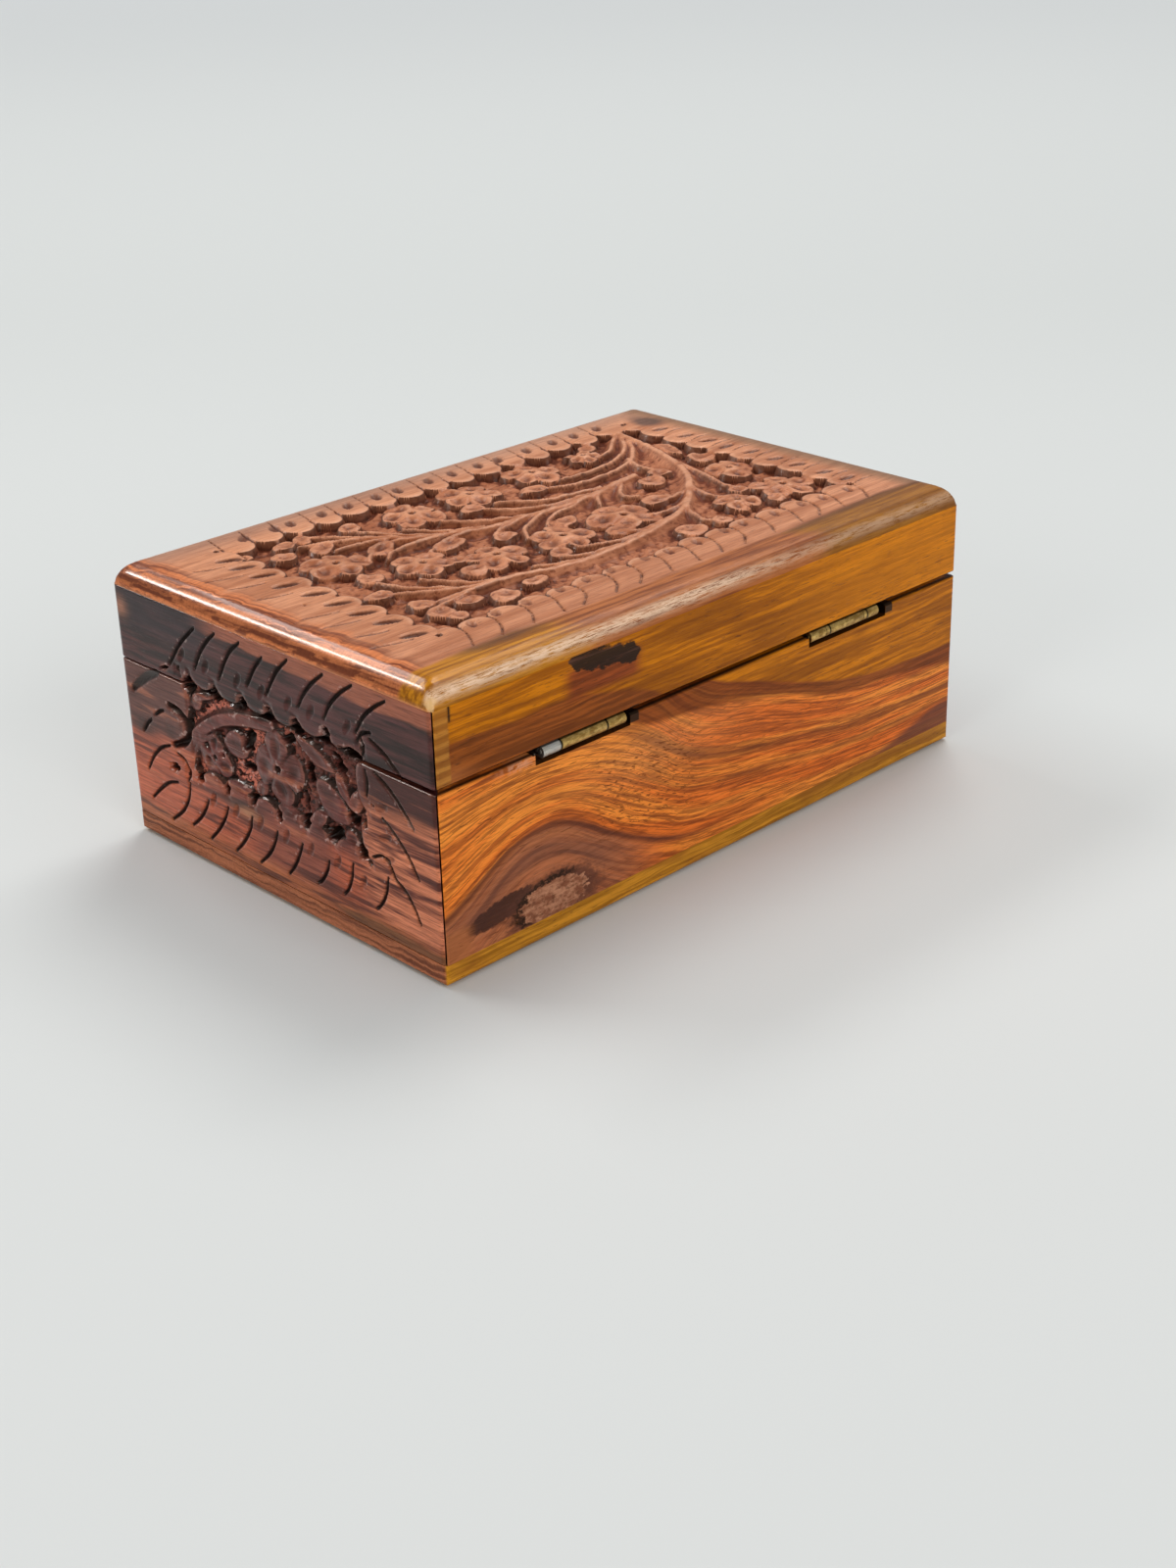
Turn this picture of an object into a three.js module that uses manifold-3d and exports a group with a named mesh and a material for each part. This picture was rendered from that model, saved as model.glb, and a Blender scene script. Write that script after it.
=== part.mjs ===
// A carved wooden trinket box with a hinged lid, in millimetres.
// The origin is the centre of the bottom face, +Z is up, +X runs to the right end
// and +Y to the rear face, which carries the hinges.
import * as THREE from 'three';
import { mergeVertices, toCreasedNormals } from 'three/addons/utils/BufferGeometryUtils.js';
import Module from 'manifold-3d';

// Overall size of the closed box
const boxLength = 160;
const boxWidth = 104;
const boxHeight = 63.5;

// Boards: four mitred walls below, four mitred rails above, a board under and a board over them
const wallThickness = 8;
const bottomBoardThickness = 4.8;
const topBoardThickness = 4.8;
const rimHeight = 41.6;
const rearGap = 1.0;
const frontGap = 0.4;
const mitreGap = 0.3;

// Worn and rounded edges
const topRoundOver = 5.2;
const cornerRadius = 1.2;
const rimEase = 0.4;
const footEase = 0.8;

// Butt hinges: rolled brass sheet round a pin
const hingeLength = 23;
const middleKnuckleLength = 12.6;
const knucklePlay = 0.15;
const barrelRadius = 1.35;
const sheetThickness = 0.75;
const pinPlay = 0.06;
const hingeInset = 0.9;
const leafMargin = 0.8;
const leftHingeX = -39.7;
const rightHingeX = 40.8;

// Slots that the barrels lie in
const slotLength = 26.4;
const leftSlotX = -41;
const rightSlotX = 41;
const slotFloorRoom = 0.8;
const fitGap = 0.3;

// Nails through the leaves
const nailSpacing = 15;
const nailLength = 8;
const nailRadius = 0.5;
const nailHeadRadius = 1.1;
const nailHeadDepth = 0.6;
const nailPointLength = 1.4;
const nailPlay = 0.15;

// Smoothness of round forms: sides in a full turn of a nail, steps in a quarter turn of an arc
const nailSides = 10;
const arcSteps = 8;

// Carving: a field sunk below the face, inside a border of lobes, with the vine left standing in it
const topFieldDepth = 2.1;
const wallFieldDepth = 1.8;
const crestSink = 0.3;
const flankWidth = 0.7;
const lobePitch = 8;
const lobeBulge = 3;
const dimpleDepth = 0.6;
const cutWidth = 0.9;
const cutDepth = 0.8;
const thumbWidth = 1.9;
const thumbDepth = 0.6;

// The carving is drawn for a box of this size and stretches with it
const drawnLength = 160;
const drawnWidth = 104;
const drawnHeight = 63.5;

// Coarseness of the carving: sides of a petal, steps of a lobe, stations along a stem and a cut
const petalSides = 6;
const lobeSteps = 4;
const stemStep = 9;
const cutStations = 3;
const thumbStations = 2;

// Edges sharper than this stay crisp
const creaseAngle = Math.PI / 7;

// Levels and planes that follow from the sizes above
const halfLength = boxLength / 2;
const halfWidth = boxWidth / 2;
const innerHalfLength = halfLength - wallThickness;
const innerHalfWidth = halfWidth - wallThickness;
const lidRearZ = rimHeight + rearGap;
const lidFrontZ = rimHeight + frontGap;
const topBoardZ = boxHeight - topBoardThickness;
const hingeY = halfWidth - hingeInset;
const hingeZ = lidRearZ - barrelRadius;
const boreRadius = barrelRadius - sheetThickness;
const pinRadius = boreRadius - pinPlay;
const leafInnerY = innerHalfWidth + leafMargin;
const knuckleReachY = hingeY - barrelRadius - fitGap;
const baseLeafSeatZ = hingeZ - barrelRadius;
const baseLeafTopZ = baseLeafSeatZ + sheetThickness;
const lidLeafBottomZ = lidRearZ - sheetThickness;
const nailY = (leafInnerY + knuckleReachY) / 2;

const wasm = await Module();
wasm.setup();

// A closed mesh as a solid that can be joined and cut
function solidOf(geometry) {
  const bare = geometry.clone();
  bare.deleteAttribute('normal');
  bare.deleteAttribute('uv');
  const merged = mergeVertices(bare, 1e-4);
  return new wasm.Manifold(new wasm.Mesh({
    numProp: 3,
    vertProperties: new Float32Array(merged.attributes.position.array),
    triVerts: new Uint32Array(merged.index.array),
  }));
}

function geometryOf(solid) {
  const mesh = solid.getMesh();
  const geometry = new THREE.BufferGeometry();
  geometry.setAttribute('position', new THREE.BufferAttribute(mesh.vertProperties, 3));
  geometry.setIndex(new THREE.BufferAttribute(mesh.triVerts, 1));
  return toCreasedNormals(geometry, creaseAngle);
}

function extrude(shape, depth) {
  return new THREE.ExtrudeGeometry(shape, { depth, bevelEnabled: false, curveSegments: arcSteps / 2 });
}

// A plan shape in X and Y, raised from z0 to z1
function alongZ(shape, z0, z1) {
  return solidOf(extrude(shape, z1 - z0).translate(0, 0, z0));
}

// A section in Y and Z, drawn out from x0 to x1
function alongX(shape, x0, x1) {
  const turn = new THREE.Matrix4().makeBasis(
    new THREE.Vector3(0, 1, 0), new THREE.Vector3(0, 0, 1), new THREE.Vector3(1, 0, 0));
  return solidOf(extrude(shape, x1 - x0).applyMatrix4(turn).translate(x0, 0, 0));
}

// A section in X and Z, drawn out from y0 to y1
function alongY(shape, y0, y1) {
  const turn = new THREE.Matrix4().makeBasis(
    new THREE.Vector3(1, 0, 0), new THREE.Vector3(0, 0, 1), new THREE.Vector3(0, -1, 0));
  return solidOf(extrude(shape, y1 - y0).applyMatrix4(turn).translate(0, y1, 0));
}

function block(x0, x1, y0, y1, z0, z1) {
  const box = new THREE.BoxGeometry(x1 - x0, y1 - y0, z1 - z0);
  return solidOf(box.translate((x0 + x1) / 2, (y0 + y1) / 2, (z0 + z1) / 2));
}

function polygon(points) {
  return new THREE.Shape(points.map(([x, y]) => new THREE.Vector2(x, y)));
}

function roundedRectangle(halfX, halfY, radius) {
  const shape = new THREE.Shape();
  shape.absarc(halfX - radius, halfY - radius, radius, 0, Math.PI / 2);
  shape.absarc(radius - halfX, halfY - radius, radius, Math.PI / 2, Math.PI);
  shape.absarc(radius - halfX, radius - halfY, radius, Math.PI, 1.5 * Math.PI);
  shape.absarc(halfX - radius, radius - halfY, radius, 1.5 * Math.PI, 2 * Math.PI);
  return shape;
}

// The lid's section across half its width or length: eased lower edge, rounded upper edge
function lidSection(half, lowLeft, lowRight, innerHalf) {
  const shape = new THREE.Shape();
  shape.moveTo(rimEase - half, lowLeft);
  shape.lineTo(-innerHalf, lowLeft);
  shape.lineTo(innerHalf, lowRight);
  shape.lineTo(half - rimEase, lowRight);
  shape.lineTo(half, lowRight + rimEase);
  shape.absarc(half - topRoundOver, boxHeight - topRoundOver, topRoundOver, 0, Math.PI / 2);
  shape.absarc(topRoundOver - half, boxHeight - topRoundOver, topRoundOver, Math.PI / 2, Math.PI);
  shape.lineTo(-half, lowLeft + rimEase);
  return shape;
}

function baseSection(half) {
  return polygon([
    [footEase - half, 0], [half - footEase, 0], [half, footEase], [half, rimHeight - rimEase],
    [half - rimEase, rimHeight], [rimEase - half, rimHeight], [-half, rimHeight - rimEase], [-half, footEase],
  ]);
}

// A face to be carved: its own u and v lie in the face, and n points out of it
function faceTurn(u, v, n, origin) {
  const axes = [u, v, n].map((axis) => new THREE.Vector3(...axis));
  return new THREE.Matrix4().makeBasis(...axes).setPosition(...origin);
}

const stretchX = boxLength / drawnLength;
const stretchY = boxWidth / drawnWidth;
const stretchZ = boxHeight / drawnHeight;

const faces = {
  top: {
    turn: faceTurn([1, 0, 0], [0, 1, 0], [0, 0, 1], [0, 0, boxHeight]),
    depth: topFieldDepth, stretch: [stretchX, stretchY],
  },
  right: {
    turn: faceTurn([0, 1, 0], [0, 0, 1], [1, 0, 0], [halfLength, 0, 0]),
    depth: wallFieldDepth, stretch: [stretchY, stretchZ],
  },
  left: {
    turn: faceTurn([0, -1, 0], [0, 0, 1], [-1, 0, 0], [-halfLength, 0, 0]),
    depth: wallFieldDepth, stretch: [stretchY, stretchZ],
  },
  front: {
    turn: faceTurn([1, 0, 0], [0, 0, 1], [0, -1, 0], [0, -halfWidth, 0]),
    depth: wallFieldDepth, stretch: [stretchX, stretchZ],
  },
};

function onFace(face, [u, v]) {
  return new THREE.Vector2(u * face.stretch[0], v * face.stretch[1]);
}

// Closed skin over a row of rings with the same number of points; each end is flat or runs to a point
function skin(face, rings, firstPoint, lastPoint) {
  const count = rings[0].length;
  const corners = rings.flat().map(([u, v, n]) => new THREE.Vector3(u, v, n));
  const index = [];
  for (let r = 0; r + 1 < rings.length; r += 1) {
    for (let k = 0; k < count; k += 1) {
      const a = r * count + k;
      const b = r * count + ((k + 1) % count);
      index.push(a, b, b + count, a, b + count, a + count);
    }
  }
  const last = (rings.length - 1) * count;
  for (let k = 1; k + 1 < count; k += 1) {
    if (!firstPoint) index.push(0, k + 1, k);
    if (!lastPoint) index.push(last, last + k, last + k + 1);
  }
  if (firstPoint) {
    for (let k = 0; k < count; k += 1) index.push((k + 1) % count, k, corners.length);
    corners.push(new THREE.Vector3(...firstPoint));
  }
  if (lastPoint) {
    for (let k = 0; k < count; k += 1) index.push(last + k, last + ((k + 1) % count), corners.length);
    corners.push(new THREE.Vector3(...lastPoint));
  }
  const geometry = new THREE.BufferGeometry().setFromPoints(corners);
  geometry.setIndex(index);
  return solidOf(geometry.applyMatrix4(face.turn));
}

// Stem: a sharp ridge along a smooth line, tapering from its root to its tip
function stem(face, rootWidth, tipWidth, points) {
  const curve = new THREE.SplineCurve(points.map((point) => onFace(face, point)));
  const steps = Math.max(2, Math.ceil(curve.getLength() / stemStep));
  const low = -face.depth - fitGap;
  const rings = [];
  for (let i = 0; i <= steps; i += 1) {
    const share = i / steps;
    const at = curve.getPointAt(share);
    const along = curve.getTangentAt(share);
    const foot = THREE.MathUtils.lerp(rootWidth, tipWidth, share) / 2 + flankWidth;
    rings.push([[-foot, low], [foot, low], [0, -crestSink]].map(([side, n]) => (
      [at.x - along.y * side, at.y + along.x * side, n])));
  }
  return skin(face, rings);
}

// Petal, bud or leaf: an oval boss with sloping sides and a thumbnail dimple in its crown
function boss(face, centre, halfLong, halfShort, turn) {
  const at = onFace(face, centre);
  const ring = (scaleOut, share, n) => {
    const points = [];
    for (let k = 0; k < petalSides; k += 1) {
      const angle = (2 * Math.PI * k) / petalSides;
      const point = new THREE.Vector2(
        (halfLong * share + scaleOut) * Math.cos(angle), (halfShort * share + scaleOut) * Math.sin(angle));
      point.rotateAround(new THREE.Vector2(), turn);
      points.push([at.x + point.x, at.y + point.y, n]);
    }
    return points;
  };
  const rings = [
    ring(flankWidth / 2, 1, -face.depth - fitGap),
    ring(0, 1 - flankWidth / halfLong / 2, -crestSink),
  ];
  return skin(face, rings, null, [at.x, at.y, -crestSink - dimpleDepth]);
}

const petalReach = 0.6;
const petalLong = 0.4;
const petalShort = 0.36;

function flower(face, [u, v], radius, petals, turn) {
  const parts = [];
  for (let k = 0; k < petals; k += 1) {
    const angle = turn + (2 * Math.PI * k) / petals;
    const centre = [u + petalReach * radius * Math.cos(angle), v + petalReach * radius * Math.sin(angle)];
    parts.push(boss(face, centre, petalLong * radius, petalShort * radius, angle));
  }
  return parts;
}

// Willow-leaf cut with a V bottom, pointed at both ends and bowed to one side
function cut(face, from, to, width, depth, bow, stations = cutStations) {
  const start = onFace(face, from);
  const end = onFace(face, to);
  const along = end.clone().sub(start).normalize();
  const across = new THREE.Vector2(along.y, -along.x);
  const rise = fitGap;
  const rings = [];
  for (let i = 1; i < stations; i += 1) {
    const share = i / stations;
    const swell = Math.sin(Math.PI * share);
    const at = start.clone().lerp(end, share).addScaledVector(across, bow * Math.sin(Math.PI * share));
    const half = (width * swell * (1 + rise / depth)) / 2;
    rings.push([[0, -depth * swell], [-half, rise * swell], [half, rise * swell]].map(([side, n]) => (
      [at.x + across.x * side, at.y + across.y * side, n])));
  }
  return skin(face, rings, [start.x, start.y, 0], [end.x, end.y, 0]);
}

// Outline of a sunk field: the lobes of the border bulge into it along all four sides
function lobedField(face, [u0, v0], [u1, v1]) {
  const low = onFace(face, [u0, v0]);
  const high = onFace(face, [u1, v1]);
  const corners = [
    low, new THREE.Vector2(high.x, low.y), high, new THREE.Vector2(low.x, high.y),
  ];
  const points = [];
  const notches = [];
  corners.forEach((corner, side) => {
    const next = corners[(side + 1) % corners.length];
    const along = next.clone().sub(corner).normalize();
    const inward = new THREE.Vector2(-along.y, along.x);
    const span = corner.distanceTo(next) - 2 * lobeBulge;
    const count = Math.round(span / lobePitch);
    const pitch = span / count;
    for (let i = 0; i < count; i += 1) {
      const notch = corner.clone().addScaledVector(along, lobeBulge + i * pitch);
      notches.push({ side, at: notch, pitch, along });
      for (let k = 0; k < lobeSteps; k += 1) {
        const angle = (Math.PI * k) / lobeSteps;
        points.push(notch.clone().addScaledVector(along, (pitch * (1 - Math.cos(angle))) / 2)
          .addScaledVector(inward, lobeBulge * Math.sin(angle)));
      }
    }
    points.push(next.clone().addScaledVector(along, -lobeBulge));
  });
  const prism = new THREE.ExtrudeGeometry(new THREE.Shape(points), {
    depth: face.depth + fitGap, bevelEnabled: false,
  });
  const field = solidOf(prism.translate(0, 0, -face.depth).applyMatrix4(face.turn));
  return { field, notches };
}

function joined(parts) {
  return parts.reduce((whole, part) => whole.add(part));
}

// The outer form of the lid and of the base, before they are taken apart into boards
function lidForm() {
  const across = alongX(lidSection(halfWidth, lidFrontZ, lidRearZ, innerHalfWidth), -halfLength, halfLength);
  const along = alongY(lidSection(halfLength, lidFrontZ, lidFrontZ, innerHalfLength), -halfWidth, halfWidth);
  const plan = roundedRectangle(halfLength, halfWidth, cornerRadius);
  return across.intersect(along).intersect(alongZ(plan, 0, boxHeight));
}

function baseForm() {
  const across = alongX(baseSection(halfWidth), -halfLength, halfLength);
  const along = alongY(baseSection(halfLength), -halfWidth, halfWidth);
  const plan = roundedRectangle(halfLength, halfWidth, cornerRadius);
  return across.intersect(along).intersect(alongZ(plan, 0, rimHeight));
}

// Plan of one mitred board; set back from the mitres by the open joint on the long sides only
function longBoardPlan(side) {
  const outer = halfLength - mitreGap * Math.SQRT2;
  const inner = innerHalfLength - mitreGap * Math.SQRT2;
  const corners = [
    [-outer, halfWidth], [-inner, innerHalfWidth], [inner, innerHalfWidth], [outer, halfWidth],
  ];
  return polygon(side > 0 ? corners : corners.map(([x, y]) => [x, -y]).reverse());
}

function endBoardPlan(side) {
  const corners = [
    [halfLength, -halfWidth], [halfLength, halfWidth],
    [innerHalfLength, innerHalfWidth], [innerHalfLength, -innerHalfWidth],
  ];
  return polygon(side > 0 ? corners : corners.map(([x, y]) => [-x, y]).reverse());
}

// Rolled knuckle: the sheet runs flat from the leaf, then round the pin and nearly back to itself
const rollEnd = THREE.MathUtils.degToRad(200);

function knuckleSection(up) {
  const shape = new THREE.Shape();
  const low = -Math.PI / 2;
  const root = knuckleReachY - sheetThickness - hingeY;
  shape.moveTo(root, -barrelRadius);
  shape.absarc(0, 0, barrelRadius, low, rollEnd);
  shape.absarc(0, 0, boreRadius, rollEnd, low, true);
  shape.lineTo(root, -boreRadius);
  if (!up) return shape;
  const points = shape.getPoints(arcSteps);
  return new THREE.Shape(points.map((p) => new THREE.Vector2(p.x, -p.y)).reverse());
}

function knuckle(up, x0, x1) {
  const geometry = new THREE.ExtrudeGeometry(knuckleSection(up), {
    depth: x1 - x0, bevelEnabled: false, curveSegments: arcSteps,
  });
  const turn = new THREE.Matrix4().makeBasis(
    new THREE.Vector3(0, 1, 0), new THREE.Vector3(0, 0, 1), new THREE.Vector3(1, 0, 0));
  return solidOf(geometry.applyMatrix4(turn).translate(x0, hingeY, hingeZ));
}

// Nail along +Z with its point down and its countersunk head ending at z = 0
function nailProfile(play) {
  const shank = nailRadius + play;
  const head = nailHeadRadius + play;
  return [
    new THREE.Vector2(0, -nailLength - play),
    new THREE.Vector2(shank, nailPointLength - nailLength - play),
    new THREE.Vector2(shank, -nailHeadDepth),
    new THREE.Vector2(head, 0),
  ];
}

function nailGeometry(downwards, x, z) {
  const profile = [...nailProfile(0), new THREE.Vector2(0, 0)];
  const geometry = new THREE.LatheGeometry(profile, nailSides).rotateX(Math.PI / 2);
  if (!downwards) geometry.rotateX(Math.PI);
  return geometry.translate(x, nailY, z);
}

// The hole for a nail runs a little past its head, out into the open gap between the leaves
function nailHole(downwards, x, z) {
  const mouth = nailHeadRadius + nailPlay;
  const profile = [...nailProfile(nailPlay), new THREE.Vector2(mouth, fitGap), new THREE.Vector2(0, fitGap)];
  const geometry = new THREE.LatheGeometry(profile, nailSides).rotateX(Math.PI / 2);
  if (!downwards) geometry.rotateX(Math.PI);
  return solidOf(geometry.translate(x, nailY, z));
}

const nailOffsets = { inner: -nailSpacing / 2, outer: nailSpacing / 2 };
const hinges = [
  { side: 'left', x: leftHingeX, slotX: leftSlotX, outward: -1 },
  { side: 'right', x: rightHingeX, slotX: rightSlotX, outward: 1 },
];

function nailPlaces(hinge) {
  return Object.entries(nailOffsets).map(([place, offset]) => [place, hinge.x + hinge.outward * offset]);
}

// The leaf on the base carries the two outer knuckles, the leaf on the lid the middle one
function baseLeaf(hinge) {
  const end = hingeLength / 2;
  const inner = middleKnuckleLength / 2 + knucklePlay;
  let leaf = block(hinge.x - end, hinge.x + end, leafInnerY, knuckleReachY, baseLeafSeatZ, baseLeafTopZ);
  leaf = leaf.add(knuckle(false, hinge.x - end, hinge.x - inner));
  leaf = leaf.add(knuckle(false, hinge.x + inner, hinge.x + end));
  for (const [, x] of nailPlaces(hinge)) leaf = leaf.subtract(nailHole(true, x, baseLeafTopZ));
  return leaf;
}

function lidLeaf(hinge) {
  const end = hingeLength / 2;
  const half = middleKnuckleLength / 2;
  let leaf = block(hinge.x - end, hinge.x + end, leafInnerY, knuckleReachY, lidLeafBottomZ, lidRearZ);
  leaf = leaf.add(knuckle(true, hinge.x - half, hinge.x + half));
  for (const [, x] of nailPlaces(hinge)) leaf = leaf.subtract(nailHole(false, x, lidLeafBottomZ));
  return leaf;
}

function pinGeometry(hinge) {
  const geometry = new THREE.CylinderGeometry(pinRadius, pinRadius, hingeLength, 2 * nailSides);
  return geometry.rotateZ(Math.PI / 2).translate(hinge.x, hingeY, hingeZ);
}

// Mortise for the leaf and the deeper slot for the barrel, open to the rear face
function hingeMortise(hinge) {
  const x0 = hinge.slotX - slotLength / 2;
  const x1 = hinge.slotX + slotLength / 2;
  const past = halfWidth + fitGap;
  const mortise = block(x0, x1, leafInnerY - fitGap, past, baseLeafSeatZ, rimHeight + rearGap);
  return mortise.add(block(x0, x1, knuckleReachY, past, baseLeafSeatZ - slotFloorRoom, rimHeight + rearGap));
}

// The rail's underside is scooped over the barrel, so that the knuckles turn clear of it
function barrelScoop(hinge) {
  const scoop = barrelRadius + fitGap;
  const geometry = new THREE.CylinderGeometry(scoop, scoop, slotLength, 2 * nailSides);
  return solidOf(geometry.rotateZ(Math.PI / 2).translate(hinge.slotX, hingeY, hingeZ));
}

function baseRearWall(form) {
  let wall = form.intersect(alongZ(longBoardPlan(1), bottomBoardThickness, rimHeight));
  for (const hinge of hinges) {
    wall = wall.subtract(hingeMortise(hinge));
    for (const [, x] of nailPlaces(hinge)) wall = wall.subtract(nailHole(true, x, baseLeafTopZ));
  }
  return wall;
}

function lidRearRail(form) {
  let rail = form.intersect(alongZ(longBoardPlan(1), lidFrontZ, topBoardZ));
  for (const hinge of hinges) {
    rail = rail.subtract(barrelScoop(hinge));
    for (const [, x] of nailPlaces(hinge)) rail = rail.subtract(nailHole(false, x, lidLeafBottomZ));
  }
  return rail;
}

// Stems of the vine on the top: width at the root, width at the tip, and the line that the crest follows
const topStems = [
  [2.4, 1.8, [[-59, -38], [-57.5, -29], [-53, -14], [-46.5, -1.5], [-38.5, 6.5], [-28.5, 14.5], [-14, 19],
    [4, 22], [18.5, 20.5], [30.5, 18]]],
  [1.4, 0.8, [[-57.5, -36], [-53, -33], [-47, -28], [-42.5, -27.5]]],
  [1.5, 0.8, [[-56, -32.5], [-49, -25], [-40, -21.5], [-30, -21], [-25, -21.5]]],
  [1.5, 0.8, [[-56.5, -30], [-49.5, -22.5], [-42.5, -17.5], [-34, -16], [-22.5, -17], [-16.5, -20]]],
  [1.2, 0.8, [[-45.5, -20], [-43.5, -14.5], [-44, -10.5]]],
  [1.5, 0.8, [[30.5, 18], [36, 15], [39.5, 8.5], [41.5, 5]]],
  [1.2, 0.8, [[34.5, 17], [42.5, 11.5], [47.5, 5], [49, 0]]],
  [1.2, 0.8, [[37.5, 17], [45, 11.5], [52, 6.5]]],
  [1.5, 0.8, [[30.5, 18], [40, 17.5], [48.5, 17], [51, 16.5]]],
  [1.2, 0.8, [[40, 18], [45, 19], [51, 21]]],
  [2.0, 1.5, [[-36, -10], [-23, -8], [-11.5, -7], [-0.5, -8], [10.5, -9.5], [17, -12]]],
  [1.3, 0.7, [[-25.5, -10], [-14.5, -12], [-8.5, -15.5], [-3, -20.5]]],
  [1.3, 0.7, [[-23, -8.5], [-9, -9.5], [-3, -13.5], [2, -19.5]]],
  [1.3, 0.7, [[-0.5, -8], [7.5, -13], [14, -19.5]]],
  [1.3, 0.7, [[11, -9.5], [18.5, -14.5], [23, -22]]],
  [1.4, 0.7, [[17, -10.5], [24.5, -17.5], [29.5, -25.5], [31.5, -30]]],
  [1.4, 0.7, [[20.5, -12.5], [28, -19], [36, -28.5], [41, -34.5]]],
  [1.2, 0.8, [[28.5, -20], [36, -25.5], [43, -29], [46, -30]]],
  [1.2, 0.8, [[28, -19], [36.5, -22], [42, -22.5]]],
  [1.3, 0.7, [[21.5, -13], [32.5, -18], [38, -15], [41, -12.5]]],
  [1.2, 0.7, [[21.5, -13], [30.5, -13], [37.5, -10]]],
  [1.2, 0.8, [[16, -10], [24.5, -9], [29, -6.5]]],
  [1.2, 0.8, [[4, -7], [9, -5.5], [13, -3.5]]],
  [1.2, 0.8, [[-3, -6], [5, -2.5], [9, 3]]],
  [1.2, 0.8, [[-15.5, -6], [-7, -4.5], [0, 0]]],
  [1.2, 0.8, [[-24.5, -8], [-19, -3], [-17, -1]]],
  [1.2, 0.8, [[-31, -9.5], [-26.5, -4], [-25.5, -1], [-27.5, 1]]],
  [1.4, 0.8, [[-40.5, 4.5], [-39, 10.5], [-39.5, 16.5]]],
  [1.4, 0.8, [[-30.5, 13.5], [-26.5, 20], [-25.5, 23.5], [-27.5, 26]]],
  [1.4, 0.8, [[-50.5, -5], [-47.5, 7.5], [-46, 10.5], [-47, 13.5]]],
  [1.3, 0.8, [[-38.5, 6], [-32, 7.5], [-28.5, 6]]],
  [1.3, 0.8, [[-37.5, 8], [-28.5, 12.5], [-21, 12]]],
  [1.3, 0.8, [[-20.5, 17], [-9.5, 17], [-8.5, 14]]],
  [1.3, 0.8, [[-11.5, 19.5], [-0.5, 18.5], [5.5, 15]]],
  [1.3, 0.8, [[1.5, 21], [10, 19], [12, 17]]],
  [1.3, 0.8, [[12, 21.5], [18.5, 18], [20.5, 17]]],
];

// Flowers of the top: centre, radius, petals and turn in degrees
const topFlowers = [
  [[47.5, -15], 7.5, 5, 20], [[15, -28.5], 7, 5, 50], [[-2.5, -28.5], 7, 5, 10], [[-23, -30], 6, 5, 30],
  [[35, -1.5], 7, 5, 0], [[21, 6], 6.5, 5, 40], [[3.5, 8], 7, 5, 20], [[-15.5, 8], 7.5, 5, 55],
  [[-57, 2.5], 5.5, 3, 40], [[-55.5, 20], 7, 5, 25], [[-40, 20], 5, 4, 45], [[-42, -31.5], 5, 4, 10],
];

// Buds, rings and leaves of the top: centre, half length, half width and turn in degrees
const topBuds = [
  [[47.5, -33.5], 2.4, 2.4, 0], [[52, -28], 2.7, 2.5, 0], [[43, -26], 3, 2.6, 30],
  [[42.5, -34], 2.6, 1.8, 60], [[30.5, -32], 2.5, 2.3, 0], [[3.5, -21.5], 2.8, 2.6, 0],
  [[-15.5, -21.5], 3, 2.7, 0], [[-44, -8.5], 2.6, 2.6, 0], [[-59, -8.5], 3.2, 2.8, 0],
  [[-58, -20], 5, 2, 80], [[-38, -5], 3.4, 2.8, 0], [[34.5, -16], 4, 2.4, 25],
  [[23, -7], 4, 2.3, 10], [[11, -2], 3.5, 2, 20], [[-4, 0.5], 3, 2.6, 0],
  [[48, -3.5], 2.6, 2.6, 0], [[30, 9], 2.8, 2.6, 0], [[10.5, 14.5], 2.5, 2.3, 0],
  [[-9, 14], 3.2, 2.8, 0], [[-28.5, 5], 3.3, 2.8, 0], [[-19, 25.5], 3.5, 3, 0],
  [[-28.5, 26.5], 2.4, 2, 0], [[36, 24.5], 3.2, 2.8, 0], [[26, 23.5], 3, 1.5, 5],
  [[50.5, 15.5], 2.8, 2.4, 0], [[51, 22], 3, 2.6, 0], [[50, 26.5], 2, 1.8, 0],
  [[42.5, 21.5], 3, 2, 0], [[53.5, 5.5], 3, 2.4, 0],
];

// Two opposite corners of each sunk field, at the notches between its lobes
const topField = [[-65, -39], [61, 33]];
const endField = [[-31, 19.5], [31, 45.3]];
const frontField = [[-61, 19.5], [61, 45.3]];

// Cuts of the top's border, by side: front, right, rear, left. They start outside a notch and drift sideways
const borderCuts = [
  { start: 1, length: 6.5, drift: -1.6, thumb: 4.2, thumbLength: 4.4 },
  { start: 4.5, length: 5.5, drift: 1, thumb: 0.5, thumbLength: 4.8 },
  { start: 0.5, length: 8, drift: -4.2, thumb: 0.8, thumbLength: 4 },
  { start: 4.5, length: 0, drift: 0, thumb: 2.5, thumbLength: 4.4 },
];

function borderMarks(face, notches, style) {
  const marks = [];
  for (const { side, at, pitch, along } of notches) {
    const outward = new THREE.Vector2(along.y, -along.x);
    const { start, length, drift, thumb, thumbLength } = style[side];
    const from = at.clone().addScaledVector(outward, start);
    const to = from.clone().addScaledVector(outward, length).addScaledVector(along, drift);
    const still = { ...face, stretch: [1, 1] };
    if (length > 0) marks.push(cut(still, from.toArray(), to.toArray(), cutWidth, cutDepth, 0));
    const middle = at.clone().addScaledVector(along, pitch / 2);
    const near = middle.clone().addScaledVector(outward, thumb - thumbLength / 2);
    const far = near.clone().addScaledVector(outward, thumbLength);
    marks.push(cut(still, near.toArray(), far.toArray(), thumbWidth, thumbDepth, 0, thumbStations));
  }
  return marks;
}

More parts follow.
